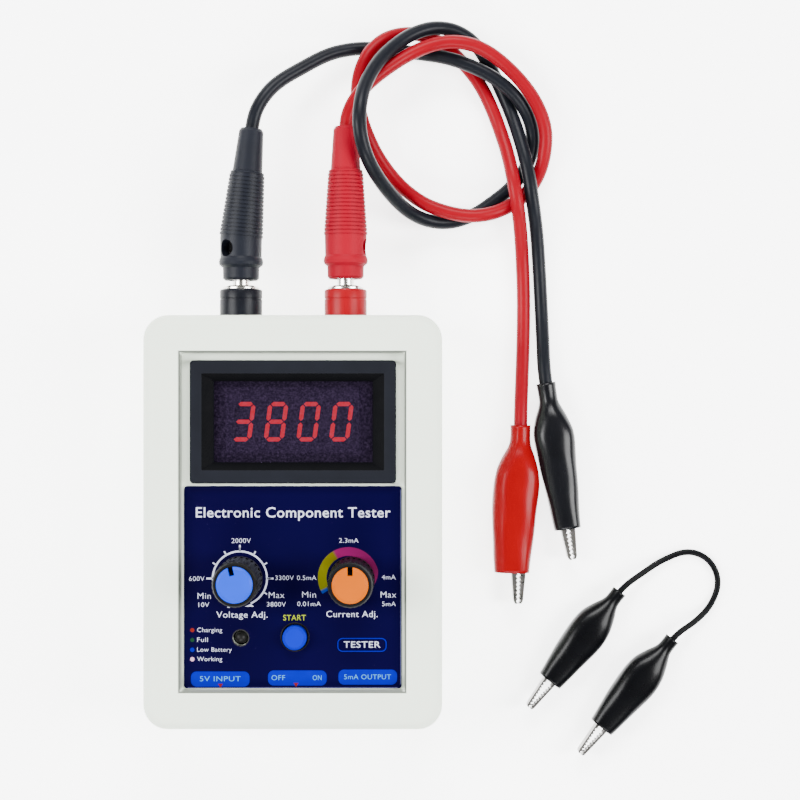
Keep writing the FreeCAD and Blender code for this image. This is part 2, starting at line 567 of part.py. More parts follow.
def make_clip(prefix, neck, heading, height, scale, gap, sections, boot_len, cord_r, wall):
    place = Place(V(neck[0], neck[1], height), Rot(V(0, 0, 1), heading))
    pivot = 22.0
    outer, outline = jaw_points(gap, pivot)

    def fit(points):
        return [(a * scale, w * scale) for a, w in points]

    def jaw(sign, half, inner_half, hole):
        pts = outline if sign > 0 else mirrored(outline)
        solid = polygon_solid(fit(pts), 2 * half * scale, -half * scale)
        tip, skin = 43.3, 0.6
        well = [(8.0, outer[0][1] - skin)] + [(min(a, tip), w - skin) for a, w in outer[:-1]] + [(tip, -3.5), (8.0, -3.5)]
        well = well if sign > 0 else mirrored(well)
        solid = solid.cut(polygon_solid(fit(well), 2 * inner_half * scale, -inner_half * scale))
        return solid.cut(Part.makeCylinder(hole * scale, 8 * scale, V(pivot * scale, 0, -4 * scale)))

    def lofted(rows, name):
        rings = []
        for a, w, half_w, half_t in rows:
            if half_w >= half_t:
                rings.append(Part.Wire(Part.Ellipse(V(a, w + half_w, 0), V(a, w, half_t), V(a, w, 0)).toShape()))
            else:
                rings.append(Part.Wire(Part.Ellipse(V(a, w, half_t), V(a, w + half_w, 0), V(a, w, 0)).toShape()))
        return Part.makeLoft(rings, True, False)

    def inside(margin):
        rows = [(a, w, hw - margin, ht - margin) for a, w, hw, ht in sections if a > 5.0]
        small = cord_r + 0.12 + wall - margin
        rows = [(5.0 if scale == 1 else 3.6, 0, small, small)] + rows
        return rows

    upper = jaw(1, 1.45, 0.9, 0.68)
    lower = jaw(-1, 2.0, 1.45, 0.62)
    tail = Part.makeBox(4.2 * scale, 0.6 * scale, 2.4 * scale, V(5.4 * scale, -2.6 * scale, -1.2 * scale))
    room_rows = inside(wall + 0.1)
    last = room_rows[-1]
    room = lofted(room_rows, "room").fuse(Part.makeBox(10 * scale, 12, 12, V(last[0] - 0.01, -6, -6)))
    upper = upper.common(room)
    lower = lower.fuse(tail).common(room)
    rivet = Part.makeCylinder(0.6 * scale, 5.0 * scale, V(pivot * scale, 0, -2.5 * scale))
    for z in (-2.55, 2.25):
        rivet = rivet.fuse(Part.makeCylinder(1.1 * scale, 0.3 * scale, V(pivot * scale, 0, z * scale)))
    helix = Part.makeHelix(0.48 * scale, 1.2 * scale, 1.0 * scale)
    ring = Part.Wire(Part.makeCircle(0.18 * scale, V(1.0 * scale, 0, 0), V(0, 1, 0)))
    coil = Part.Wire(helix.Edges).makePipeShell([ring], True, True)
    coil.translate(V(pivot * scale, 0, -0.6 * scale))
    for side, z in ((1, 0.6), (-1, -0.6)):
        start = V(pivot * scale, side * 1.0 * scale, z * scale)
        leg_end = V(13.0 * scale, side * 2.45 * scale, z * scale)
        coil = coil.fuse(Part.makeCylinder(0.18 * scale, (leg_end - start).Length, start, leg_end - start))

    skin = lofted(sections, "skin")
    rows = inside(wall)
    rows[-1] = (last[0] + 0.4,) + rows[-1][1:]
    cavity = lofted(rows, "cavity")
    boot = skin.cut(cavity).cut(Part.makeCylinder(cord_r + 0.05, 8.0, V(-1, 0, 0), V(1, 0, 0)))
    made = {}
    for label, shape in (("lower_jaw", lower), ("upper_jaw", upper), ("spring", coil), ("boot", boot)):
        obj = feature(prefix + "_" + label, shape)
        obj.Placement = place
        export(obj, prefix + "_" + label)
        made[label] = obj
    rivet.Placement = place
    point = lambda a: tuple(place.multVec(V(a, 0, 0)))
    print("%s pivot at %s" % (prefix, [round(c, 3) for c in place.multVec(V(pivot * scale, 0, 0))]))
    return rivet, point


def heading_of(a, c):
    return math.degrees(math.atan2(c[1] - a[1], c[0] - a[0]))


clip_z, small_z = 4.3, 4.0
red_rows = [(0, 0, 2.5, 2.5), (5, -0.1, 2.75, 2.7), (8, -0.35, 4.1, 3.6), (11.3, -0.6, 5.2, 4.1), (16, -0.9, 5.7, 4.15),
            (24, -1.3, 5.3, 4.0), (30, -1.5, 4.85, 3.8), (36.3, -1.6, 4.3, 3.6)]
black_rows = [(0, 0, 2.4, 2.4), (5, 0, 2.45, 2.45), (8.5, 0, 3.9, 3.6), (12.5, 0, 4.95, 4.1), (18, 0, 4.75, 4.1),
              (26, 0, 4.1, 3.8), (31, 0, 3.65, 3.6), (36.3, 0, 3.25, 3.4)]
small_rows = [(0, 0, 1.85, 1.85), (3.6, 0, 2.0, 2.0), (6.4, 0, 3.3, 2.8), (9.5, 0, 4.4, 3.5), (13.5, 0, 4.75, 3.75),
              (18.5, 0, 4.35, 3.6), (23.5, 0, 3.7, 3.2), (28.0, 0, 3.1, 2.8)]
red_neck, red_tip = (54.85, 22.4), (54.2, -21.1)
black_neck, black_tip = (61.1, 32.8), (67.6, -10.5)
a_neck, a_tip = (79.34, -18.63), (56.96, -47.23)
b_neck, b_tip = (92.41, -30.33), (69.64, -58.5)
lead_rivets, small_rivets, ends = [], [], {}
for prefix, neck, tip, rows in (("black_clip", black_neck, black_tip, black_rows),
                                ("red_clip", red_neck, red_tip, [(a, w, p, q) for a, w, p, q in red_rows])):
    rivet, ends[prefix] = make_clip(prefix, neck, heading_of(neck, tip), clip_z, 1.0, 0.3, rows, 36.3, 1.65, 0.55)
    lead_rivets.append(rivet)
for prefix, neck, tip in (("jumper_clip_a", a_neck, a_tip), ("jumper_clip_b", b_neck, b_tip)):
    rivet, ends[prefix] = make_clip(prefix, neck, heading_of(neck, tip), small_z, 0.83, 1.1, small_rows, 28.0, 0.75, 0.5)
    small_rivets.append(rivet)
export(feature("LeadRivets", Part.makeCompound(lead_rivets)), "lead_clip_rivets")
export(feature("SmallRivets", Part.makeCompound(small_rivets)), "jumper_clip_rivets")


def tail_point(name, beyond):
    knee, direction = tails[name]
    return tuple(knee + direction * (26.3 + beyond))


black_route = [
    (-8.7, 100.6, 14.6), (-5.0, 105.4, 12.9), (1.7, 109.9, 9.8), (7.4, 113.4, 7.4), (12.8, 115.0, 5.5),
    (17.7, 115.4, 4.6), (23.4, 114.9, 4.2), (29.5, 114.2, 4.2), (37.4, 112.8, 5.6), (45.8, 109.5, 6.0),
    (52.7, 104.8, 5.3), (57.3, 98.7, 2.9), (58.4, 92.3, 1.75), (56.6, 86.4, 1.75), (52.7, 81.2, 1.75),
    (47.9, 77.5, 1.75), (43.2, 74.3, 1.75), (37.5, 72.4, 2.2), (31.8, 72.7, 4.3), (26.6, 74.9, 8.0),
    (21.2, 80.0, 14.3), (17.2, 86.0, 20.1), (15.4, 92.4, 22.0), (15.5, 98.7, 21.4), (16.8, 104.7, 18.2),
    (20.0, 110.7, 14.6), (24.4, 115.5, 11.0), (29.3, 118.8, 8.6), (34.2, 120.2, 6.7), (39.2, 119.6, 5.4),
    (43.9, 116.7, 3.8), (47.5, 111.2, 1.9), (50.2, 105.6, 1.75), (52.9, 99.2, 2.2), (54.9, 92.5, 4.3),
    (56.5, 85.7, 6.1), (57.8, 77.3, 6.0), (59.0, 69.7, 3.2), (59.7, 60.4, 1.75), (60.2, 50.5, 1.75),
    (60.5, 42.5, 2.9)]
red_route = [
    (13.1, 99.3, 14.9), (15.5, 103.1, 14.3), (19.0, 106.7, 13.0), (22.8, 109.8, 11.4), (26.9, 112.7, 9.9),
    (32.7, 115.4, 9.4), (39.0, 116.3, 9.5), (45.9, 114.6, 8.5), (52.8, 109.3, 7.0), (58.2, 102.9, 6.0),
    (61.2, 95.9, 5.0), (61.0, 89.4, 4.0), (59.4, 83.9, 2.6), (56.3, 79.4, 2.5), (52.0, 76.3, 3.8),
    (47.3, 74.3, 5.5), (41.8, 73.7, 6.1), (35.4, 75.1, 5.5), (30.0, 77.4, 5.3), (24.6, 81.7, 5.8),
    (20.2, 87.2, 7.6), (17.5, 92.2, 9.5), (15.7, 97.0, 10.3), (14.6, 102.4, 10.3), (15.0, 107.8, 9.9),
    (17.0, 112.8, 9.4), (20.1, 116.3, 8.2), (23.9, 118.4, 6.4), (28.6, 119.1, 4.6), (33.0, 118.2, 3.3),
    (37.5, 115.5, 2.2), (41.5, 111.5, 1.75), (45.0, 107.0, 1.75), (47.8, 101.3, 1.75), (50.1, 95.0, 2.4),
    (51.7, 89.3, 4.6), (52.8, 83.3, 7.0), (53.9, 76.9, 7.3), (54.8, 70.7, 5.0), (55.4, 63.8, 2.4),
    (55.8, 54.7, 1.75), (55.7, 43.5, 1.75), (55.3, 33.6, 2.8)]
thin_route = [(84.8, -14.6, 2.4), (90.0, -11.3, 0.85), (96.7, -8.6, 0.85), (102.2, -10.9, 0.85),
              (104.7, -16.4, 0.85), (102.6, -22.4, 0.85), (98.4, -26.4, 2.0)]
routes = {
    "black_cord": [tail_point("black", -3), tail_point("black", 2)] + black_route
    + [ends["black_clip"](-3.2), ends["black_clip"](1.6)],
    "red_cord": [tail_point("red", -3), tail_point("red", 1.0)] + red_route
    + [ends["red_clip"](-3.4), ends["red_clip"](1.6)],
    "jumper_cord": [ends["jumper_clip_a"](2.6), ends["jumper_clip_a"](-1.4)] + thin_route
    + [ends["jumper_clip_b"](-1.4), ends["jumper_clip_b"](2.6)]}
for name, points in routes.items():
    dia = D.thin_cord_dia if name == "jumper_cord" else D.cord_dia
    print(name, [tuple(round(c, 2) for c in p) for p in (points[0], points[1], points[-2], points[-1])])
    export(feature(name + "_tube", tube(points, dia, name)), name)

doc.recompute()
problems = [o.Name for o in doc.Objects if "Invalid" in o.State or "Error" in o.State]
if problems:
    raise RuntimeError("objects with errors: %s" % problems)
for obj, node in exports:
    shape = obj.Shape
    if shape.isNull() or not shape.isValid() or shape.Volume <= 0:
        raise RuntimeError("bad shape for " + node)
    shape.exportStep("parts/%s.step" % node)
    print("%-24s solids %d volume %.1f zmin %.2f" % (node, len(shape.Solids), shape.Volume, shape.optimalBoundingBox(True).ZMin))
print(len(exports), "parts")
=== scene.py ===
import json
import math

import bmesh
import bpy
from mathutils import Matrix, Vector

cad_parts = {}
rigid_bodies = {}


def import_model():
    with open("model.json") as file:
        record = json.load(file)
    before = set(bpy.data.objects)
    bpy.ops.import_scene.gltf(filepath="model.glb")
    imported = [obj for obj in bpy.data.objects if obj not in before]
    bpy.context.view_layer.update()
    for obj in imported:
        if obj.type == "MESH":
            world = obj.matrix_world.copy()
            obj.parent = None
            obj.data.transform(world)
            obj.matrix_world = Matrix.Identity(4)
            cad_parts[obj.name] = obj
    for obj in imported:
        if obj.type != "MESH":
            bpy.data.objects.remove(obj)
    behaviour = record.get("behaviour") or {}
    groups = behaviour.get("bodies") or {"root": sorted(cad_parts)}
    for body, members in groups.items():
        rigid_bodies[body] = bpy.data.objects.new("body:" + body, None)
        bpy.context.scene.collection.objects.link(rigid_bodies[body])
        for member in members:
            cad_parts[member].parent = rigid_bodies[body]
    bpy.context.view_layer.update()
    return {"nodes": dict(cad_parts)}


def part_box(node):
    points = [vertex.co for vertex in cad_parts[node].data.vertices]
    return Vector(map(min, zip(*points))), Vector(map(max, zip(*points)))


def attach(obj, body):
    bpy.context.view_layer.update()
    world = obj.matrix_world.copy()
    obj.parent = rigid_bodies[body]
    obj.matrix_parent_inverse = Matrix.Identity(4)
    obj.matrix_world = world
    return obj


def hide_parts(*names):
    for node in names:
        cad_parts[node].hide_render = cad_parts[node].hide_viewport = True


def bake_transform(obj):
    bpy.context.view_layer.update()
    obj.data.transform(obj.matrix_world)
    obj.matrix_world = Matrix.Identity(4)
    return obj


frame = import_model()
nodes = frame["nodes"]
print("frame loaded:", len(nodes), "nodes")


def metres(*values):
    return Vector([v * 0.001 for v in values])


def pieceFromMesh(name, mesh, material, smooth=True):
    obj = bpy.data.objects.new(name, mesh)
    bpy.context.scene.collection.objects.link(obj)
    mesh.materials.clear()
    mesh.materials.append(material)
    for p in mesh.polygons:
        p.use_smooth = smooth
    return obj


def pieceFromParts(name, verts, faces, material, smooth=True):
    mesh = bpy.data.meshes.new(name)
    mesh.from_pydata([tuple(v) for v in verts], [], faces)
    bm = bmesh.new()
    bm.from_mesh(mesh)
    bmesh.ops.remove_doubles(bm, verts=bm.verts, dist=1e-7)
    bmesh.ops.recalc_face_normals(bm, faces=bm.faces)
    bm.to_mesh(mesh)
    bm.free()
    mesh.update()
    return pieceFromMesh(name, mesh, material, smooth)


def joinMeshes(name, meshes, material, smooth=False):
    bm = bmesh.new()
    for mesh in meshes:
        bm.from_mesh(mesh)
    out = bpy.data.meshes.new(name)
    bm.to_mesh(out)
    bm.free()
    return pieceFromMesh(name, out, material, smooth)


def newFinish(name):
    mat = bpy.data.materials.new(name)
    mat.use_nodes = True
    tree = mat.node_tree
    shader = tree.nodes["Principled BSDF"]
    coords = tree.nodes.new("ShaderNodeTexCoord")
    return mat, tree, shader, coords


def noiseFrom(tree, coords, scale, detail=3.0, roughness=0.5):
    noise = tree.nodes.new("ShaderNodeTexNoise")
    noise.inputs["Scale"].default_value = scale
    noise.inputs["Detail"].default_value = detail
    noise.inputs["Roughness"].default_value = roughness
    tree.links.new(coords.outputs["Object"], noise.inputs["Vector"])
    return noise


def rampBetween(tree, source, low, high, start=0.35, end=0.65):
    ramp = tree.nodes.new("ShaderNodeValToRGB")
    ramp.color_ramp.elements[0].position = start
    ramp.color_ramp.elements[1].position = end
    ramp.color_ramp.elements[0].color = low
    ramp.color_ramp.elements[1].color = high
    tree.links.new(source, ramp.inputs["Fac"])
    return ramp


def shade(colour, factor):
    return (*(min(1, channel * factor) for channel in colour[:3]), 1.0)


def moulded(name, colour, rough=0.4, grain=2600, depth=0.05, blotch=90, spread=0.05, coat=0.0, wear=0.12,
            metallic=0.0, specular=0.2):
    # fine surface grain, slow colour drift and a patchy gloss
    mat, tree, shader, coords = newFinish(name)
    drift = noiseFrom(tree, coords, blotch, 4.0)
    tint = rampBetween(tree, drift.outputs["Fac"], shade(colour, 1 - spread), shade(colour, 1 + spread))
    tree.links.new(tint.outputs["Color"], shader.inputs["Base Color"])
    patch = noiseFrom(tree, coords, blotch * 3, 5.0)
    gloss = tree.nodes.new("ShaderNodeMapRange")
    gloss.inputs["To Min"].default_value = max(0.02, rough * (1 - wear))
    gloss.inputs["To Max"].default_value = min(1.0, rough * (1 + wear))
    tree.links.new(patch.outputs["Fac"], gloss.inputs["Value"])
    tree.links.new(gloss.outputs["Result"], shader.inputs["Roughness"])
    fine = noiseFrom(tree, coords, grain, 2.0, 0.6)
    bump = tree.nodes.new("ShaderNodeBump")
    bump.inputs["Strength"].default_value = depth
    bump.inputs["Distance"].default_value = 0.0001
    tree.links.new(fine.outputs["Fac"], bump.inputs["Height"])
    tree.links.new(bump.outputs["Normal"], shader.inputs["Normal"])
    shader.inputs["Metallic"].default_value = metallic
    shader.inputs["Specular IOR Level"].default_value = specular
    if coat:
        shader.inputs["Coat Weight"].default_value = coat
        shader.inputs["Coat Roughness"].default_value = 0.12
    return mat


def glowing(name, colour, strength, base):
    colour, base = (*colour, 1.0), (*base, 1.0)
    mat, tree, shader, coords = newFinish(name)
    speck = noiseFrom(tree, coords, 5200, 2.0)
    tint = rampBetween(tree, speck.outputs["Fac"], shade(colour, 0.86), colour, 0.3, 0.6)
    tree.links.new(tint.outputs["Color"], shader.inputs["Emission Color"])
    shader.inputs["Emission Strength"].default_value = strength
    shader.inputs["Base Color"].default_value = base
    shader.inputs["Roughness"].default_value = 0.5
    return mat


finishes = {
    "case": moulded("casePlastic", (0.64, 0.70, 0.60), 0.45, 1500, 0.10, 40, 0.012, specular=0.09),
    "bezel": moulded("bezelPlastic", (0.0036, 0.0042, 0.0066), 0.6, 2200, 0.08, 120, 0.10, specular=0.06),
    # the bezel plastic again, darker: painted shade for its inner slopes
    "bezelSlopeShade": moulded("bezelSlopeShade", (0.0007, 0.0008, 0.0012), 0.5, 2200, 0.06, 120, 0.10, specular=0.02),
    "knob": moulded("knobPlastic", (0.0025, 0.0025, 0.003), 0.40, 2600, 0.08, 200, 0.12, specular=0.10),
    "blueCap": moulded("blueCapPlastic", (0.003, 0.032, 0.40), 0.36, 2600, 0.04, 160, 0.04, specular=0.04),
    "orangeCap": moulded("orangeCapPlastic", (0.31, 0.062, 0.0), 0.36, 2600, 0.04, 160, 0.04, specular=0.02),
    "startBlue": moulded("startButtonPlastic", (0.0, 0.004, 0.27), 0.3, 2600, 0.03, 160, 0.04, specular=0.04),
    "board": moulded("circuitBoardMask", (0.004, 0.05, 0.014), 0.3, 900, 0.10, 300, 0.15, coat=0.2),
    "ferrite": moulded("ferriteCore", (0.02, 0.02, 0.022), 0.7, 1500, 0.25, 300, 0.10),
    "capSleeve": moulded("capacitorSleeve", (0.012, 0.018, 0.06), 0.3, 1800, 0.04, 200, 0.05),
    "pouch": moulded("batteryPouch", (0.30, 0.30, 0.32), 0.35, 700, 0.30, 60, 0.05, metallic=0.6),
    "lens": moulded("indicatorLens", (0.004, 0.004, 0.004), 0.45, 1800, 0.03, 500, 0.15, specular=0.10),
    "ringGrey": moulded("ringGrey", (0.022, 0.022, 0.022), 0.5, 1800, 0.03, 300, 0.05, specular=0.1),
    "meterInside": moulded("meterInside", (0.008, 0.0055, 0.0115), 0.6, 2600, 0.05, 400, 0.25, specular=0.1),
    # clip jaws: nickel plate with its base colour darkened, painted shade for the dark surroundings the jaws reflect
    "shadedJawPlate": moulded("jawPlatePaintedShade", (0.24, 0.23, 0.215), 0.30, 1400, 0.06, 260, 0.06, metallic=1.0, wear=0.4),
    "nickel": moulded("nickelPlate", (0.62, 0.60, 0.57), 0.24, 1400, 0.05, 260, 0.06, metallic=1.0, wear=0.5),
    "zinc": moulded("zincPlate", (0.30, 0.30, 0.32), 0.34, 1400, 0.08, 260, 0.08, metallic=1.0, wear=0.4),
    "springWire": moulded("springSteel", (0.40, 0.40, 0.41), 0.25, 1400, 0.05, 260, 0.06, metallic=1.0),
    "sockBlack": moulded("socketBlack", (0.0042, 0.0046, 0.0068), 0.34, 2000, 0.03, 200, 0.15, specular=0.08),
    "sockRed": moulded("socketRed", (0.18, 0.0, 0.004), 0.36, 2000, 0.03, 200, 0.05, specular=0.08),
    "gripBlack": moulded("gripBlackRubber", (0.0042, 0.005, 0.0082), 0.46, 2200, 0.12, 160, 0.10, specular=0.10),
    "gripRed": moulded("gripRedRubber", (0.18, 0.0, 0.008), 0.50, 2200, 0.10, 160, 0.05, specular=0.05),
    "cordBlack": moulded("cordBlackSilicone", (0.0036, 0.0042, 0.0062), 0.36, 2600, 0.06, 220, 0.10, specular=0.08),
    "cordRed": moulded("cordRedSilicone", (0.16, 0.0, 0.005), 0.34, 2600, 0.05, 220, 0.04, specular=0.06),
    "thinBlack": moulded("cordThinBlack", (0.0010, 0.0011, 0.0015), 0.40, 3200, 0.06, 220, 0.10, specular=0.05),
    # lead boots: black vinyl whose base colour is lifted above the jumper boots' as painted sheen
    "leadBootSheen": moulded("leadBootVinylSheen", (0.0024, 0.0025, 0.0034), 0.26, 1500, 0.05, 180, 0.15, specular=0.15),
    "bootSmall": moulded("bootSmallVinyl", (0.0010, 0.0011, 0.0015), 0.28, 1500, 0.05, 180, 0.15, specular=0.10),
    "bootRed": moulded("bootRedVinyl", (0.15, 0.0, 0.002), 0.24, 1500, 0.05, 180, 0.04, specular=0.08),
    "hookup": moulded("hookUpSleeve", (0.14, 0.002, 0.003), 0.4, 1500, 0.05, 180, 0.05),
    "printWhite": moulded("printWhiteInk", (0.38, 0.40, 0.50), 0.5, 4000, 0.03, 900, 0.05, specular=0.06),
    # light lavender for the painted highlight along the panel's right and bottom edges
    "panelEdgeHighlight": moulded("panelEdgeHighlightPaint", (0.06, 0.065, 0.12), 0.5, 4000, 0.03, 900, 0.05, specular=0.05),
    "printYellow": moulded("printYellowInk", (0.20, 0.25, 0.004), 0.5, 4000, 0.03, 900, 0.05, specular=0.06),
    "printCyan": moulded("printCyanInk", (0.03, 0.17, 0.36), 0.5, 4000, 0.03, 900, 0.05, specular=0.06),
    "printBlue": moulded("printBlueInk", (0.0, 0.0, 0.19), 0.5, 4000, 0.03, 400, 0.05, specular=0.02),
    "printRed": moulded("printRedInk", (0.10, 0.006, 0.003), 0.5, 4000, 0.03, 900, 0.05, specular=0.06),
    "printGreen": moulded("printGreenInk", (0.002, 0.022, 0.008), 0.5, 4000, 0.03, 900, 0.05, specular=0.06),
    "printPink": moulded("printPinkInk", (0.42, 0.24, 0.34), 0.5, 4000, 0.03, 900, 0.05, specular=0.06),
    "digitLit": glowing("digitLit", (1.0, 0.0, 0.012), 1.7, (0.01, 0.0, 0.0)),
    "digitDark": moulded("digitDark", (0.0012, 0.0007, 0.0018), 0.5, 3000, 0.05, 600, 0.10, specular=0.06),
}


def panelFilm():
    # dark blue printed film with faint lint-like specks
    mat, tree, shader, coords = newFinish("panelFilm")
    drift = noiseFrom(tree, coords, 26, 3.0)
    tint = rampBetween(tree, drift.outputs["Fac"], (0.0009, 0.0, 0.0120, 1), (0.0014, 0.0, 0.0160, 1), 0.3, 0.7)
    specks = noiseFrom(tree, coords, 1500, 2.0, 0.7)
    dust = rampBetween(tree, specks.outputs["Fac"], (0, 0, 0, 1), (0.02, 0.022, 0.06, 1), 0.735, 0.80)
    mix = tree.nodes.new("ShaderNodeMix")
    mix.data_type, mix.blend_type = "RGBA", "ADD"
    mix.inputs["Factor"].default_value = 0.5
    tree.links.new(tint.outputs["Color"], mix.inputs["A"])
    tree.links.new(dust.outputs["Color"], mix.inputs["B"])
    tree.links.new(mix.outputs["Result"], shader.inputs["Base Color"])
    fine = noiseFrom(tree, coords, 1800, 2.0)
    bump = tree.nodes.new("ShaderNodeBump")
    bump.inputs["Strength"].default_value = 0.06
    bump.inputs["Distance"].default_value = 0.0001
    tree.links.new(fine.outputs["Fac"], bump.inputs["Height"])
    tree.links.new(bump.outputs["Normal"], shader.inputs["Normal"])
    shader.inputs["Roughness"].default_value = 0.34
    shader.inputs["Specular IOR Level"].default_value = 0.03
    return mat


def moduleFace():
    # smoky face of the display module, with a mottled sparkle
    mat, tree, shader, coords = newFinish("displayModuleFace")
    grain = noiseFrom(tree, coords, 2600, 3.0, 0.7)
    tint = rampBetween(tree, grain.outputs["Fac"], (0.005, 0.003, 0.0085, 1), (0.024, 0.015, 0.036, 1), 0.42, 0.70)
    tree.links.new(tint.outputs["Color"], shader.inputs["Base Color"])
    shader.inputs["Roughness"].default_value = 0.6
    shader.inputs["Specular IOR Level"].default_value = 0.04
    return mat


def smokedWindow():
    # smoked filter with a fine sparkle in it
    mat, tree, shader, coords = newFinish("smokedWindow")
    sparkle = noiseFrom(tree, coords, 2300, 3.0, 0.75)
    tint = rampBetween(tree, sparkle.outputs["Fac"], (0.0045, 0.0028, 0.008, 1), (0.026, 0.017, 0.037, 1), 0.45, 0.66)
    tree.links.new(tint.outputs["Color"], shader.inputs["Base Color"])
    shader.inputs["Roughness"].default_value = 0.3
    shader.inputs["Alpha"].default_value = 0.36
    shader.inputs["Specular IOR Level"].default_value = 0.02
    return mat


def bandGradient(centre):
    # colour of the current scale turns round its centre
    mat, tree, shader, coords = newFinish("currentBandInk")
    mapping = tree.nodes.new("ShaderNodeMapping")
    mapping.inputs["Location"].default_value = (centre[0], centre[1], 0)
    mapping.vector_type = "TEXTURE"
    mapping.inputs["Rotation"].default_value = (0, 0, math.radians(90))
    tree.links.new(coords.outputs["Object"], mapping.inputs["Vector"])
    turn = tree.nodes.new("ShaderNodeTexGradient")
    turn.gradient_type = "RADIAL"
    tree.links.new(mapping.outputs["Vector"], turn.inputs["Vector"])
    ramp = tree.nodes.new("ShaderNodeValToRGB")
    ramp.color_ramp.interpolation = "LINEAR"
    # measured anticlockwise from straight down: 0.25 is right, 0.5 up, 0.75 left
    stops = [(0.0, (0.34, 0.20, 0.22, 1)), (0.13, (0.30, 0.16, 0.15, 1)), (0.19, (0.075, 0.002, 0.03, 1)),
             (0.30, (0.05, 0.0006, 0.02, 1)), (0.50, (0.085, 0.0006, 0.036, 1)), (0.575, (0.095, 0.001, 0.038, 1)),
             (0.59, (0.065, 0.055, 0.001, 1)), (0.70, (0.08, 0.078, 0.001, 1)), (0.815, (0.065, 0.066, 0.001, 1)),
             (0.825, (0.0, 0.012, 0.12, 1)), (1.0, (0.0, 0.012, 0.12, 1))]
    elements = ramp.color_ramp.elements
    elements[0].position, elements[0].color = stops[0]
    elements[1].position, elements[1].color = stops[-1]
    for place, colour in stops[1:-1]:
        e = elements.new(place)
        e.color = colour
    tree.links.new(turn.outputs["Fac"], ramp.inputs["Fac"])
    tree.links.new(ramp.outputs["Color"], shader.inputs["Base Color"])
    shader.inputs["Roughness"].default_value = 0.5
    shader.inputs["Specular IOR Level"].default_value = 0.05
    return mat


# where the painted shade line round the window recess lies: centre, half sizes, line offset and width in mm, and how
# far it darkens
recess = {"centre": (0.0, 0.2), "half": (26.2, 39.5), "line": 0.18, "width": 0.42, "dark": 0.06}


def paintedRecessShadeFace():
    # the case plastic with a thin painted shade line where the window recess meets the front face, standing in for
    # the shading of the recess edge
    mat = moulded("casePlasticFront", (0.64, 0.70, 0.60), 0.45, 1500, 0.10, 40, 0.012, specular=0.09)
    tree = mat.node_tree
    shader = tree.nodes["Principled BSDF"]
    plain = shader.inputs["Base Color"].links[0].from_socket
    coords = tree.nodes.new("ShaderNodeTexCoord")
    split = tree.nodes.new("ShaderNodeSeparateXYZ")
    tree.links.new(coords.outputs["Object"], split.inputs["Vector"])

    def sums(kind, a, b):
        node = tree.nodes.new("ShaderNodeMath")
        node.operation = kind
        for socket, value in zip(node.inputs, (a, b)):
            if isinstance(value, float):
                socket.default_value = value
            elif value is not None:
                tree.links.new(value, socket)
        return node.outputs["Value"]

    sides = []
    for k, axis in enumerate("XY"):
        off = sums("ABSOLUTE", sums("SUBTRACT", split.outputs[axis], recess["centre"][k] * 0.001), None)
        sides.append(sums("SUBTRACT", off, recess["half"][k] * 0.001))
    edge = sums("ABSOLUTE", sums("SUBTRACT", sums("MAXIMUM", sides[0], sides[1]), recess["line"] * 0.001), None)
    fade = tree.nodes.new("ShaderNodeMapRange")
    fade.interpolation_type = "SMOOTHSTEP"
    fade.inputs["From Min"].default_value = 0.0
    fade.inputs["From Max"].default_value = recess["width"] * 0.001
    fade.inputs["To Min"].default_value = recess["dark"]
    fade.inputs["To Max"].default_value = 1.0
    tree.links.new(edge, fade.inputs["Value"])
    mix = tree.nodes.new("ShaderNodeMix")
    mix.data_type, mix.blend_type = "RGBA", "MULTIPLY"
    mix.inputs["Factor"].default_value = 1.0
    tree.links.new(plain, mix.inputs["A"])
    tree.links.new(fade.outputs["Result"], mix.inputs["B"])
    tree.links.new(mix.outputs["Result"], shader.inputs["Base Color"])
    return mat


finishes["caseFront"] = paintedRecessShadeFace()
finishes["panel"] = panelFilm()
finishes["module"] = moduleFace()
finishes["window"] = smokedWindow()
currentScale = {"centre": (13.0, -13.0), "outer": 7.15, "inner": 5.1}
finishes["band"] = bandGradient(metres(*currentScale["centre"]))

nodeFinish = {
    "front_cover": "caseFront", "rear_cover": "case", "control_panel": "panel", "meter_bezel": "bezel",
    "meter_window": "window", "led_display": "module", "meter_board": "meterInside", "main_board": "board",
    "hv_transformer": "ferrite", "hv_capacitors": "capSleeve", "battery_cell": "pouch", "status_led": "lens",
    "usb_socket": "nickel", "power_switch": "zinc", "power_slider": "knob",
    "voltage_potentiometer": "zinc", "voltage_shaft": "nickel", "voltage_knob": "knob", "voltage_cap": "blueCap",
    "current_potentiometer": "zinc", "current_shaft": "nickel", "current_knob": "knob", "current_cap": "orangeCap",
    "potentiometer_nuts": "nickel", "start_switch": "knob", "start_button": "startBlue", "case_screws": "zinc",
    "board_screws": "zinc", "black_socket": "sockBlack", "red_socket": "sockRed", "socket_sleeves": "nickel",
    "socket_nuts": "nickel", "hook_up_wires": "hookup", "black_plug_shell": "gripBlack",
    "red_plug_shell": "gripRed", "black_plug_pin": "nickel", "red_plug_pin": "nickel",
    "black_plug_spring": "nickel", "red_plug_spring": "nickel", "lead_clip_rivets": "nickel",
    "jumper_clip_rivets": "nickel"}
for clip in ("black_clip", "red_clip", "jumper_clip_a", "jumper_clip_b"):
    # the jaws take the darkened nickel, painted shade for their dark reflections
    nodeFinish[clip + "_lower_jaw"] = nodeFinish[clip + "_upper_jaw"] = "shadedJawPlate"
    nodeFinish[clip + "_spring"] = "springWire"
for node, finish in nodeFinish.items():
    for materialSlot in nodes[node].material_slots:
        materialSlot.material = finishes[finish]
print("finishes:", len(finishes))

cameraPlace = {"x": 25.1, "y": 28.6, "z": 458.0, "lens": 82.7}
camData = bpy.data.cameras.new("shopCamera")
camData.lens = cameraPlace["lens"]
camData.sensor_width = 36.0
camData.clip_start, camData.clip_end = 0.01, 10.0
cam = bpy.data.objects.new("shopCamera", camData)
cam.location = metres(cameraPlace["x"], cameraPlace["y"], cameraPlace["z"])
bpy.context.scene.collection.objects.link(cam)
bpy.context.scene.camera = cam

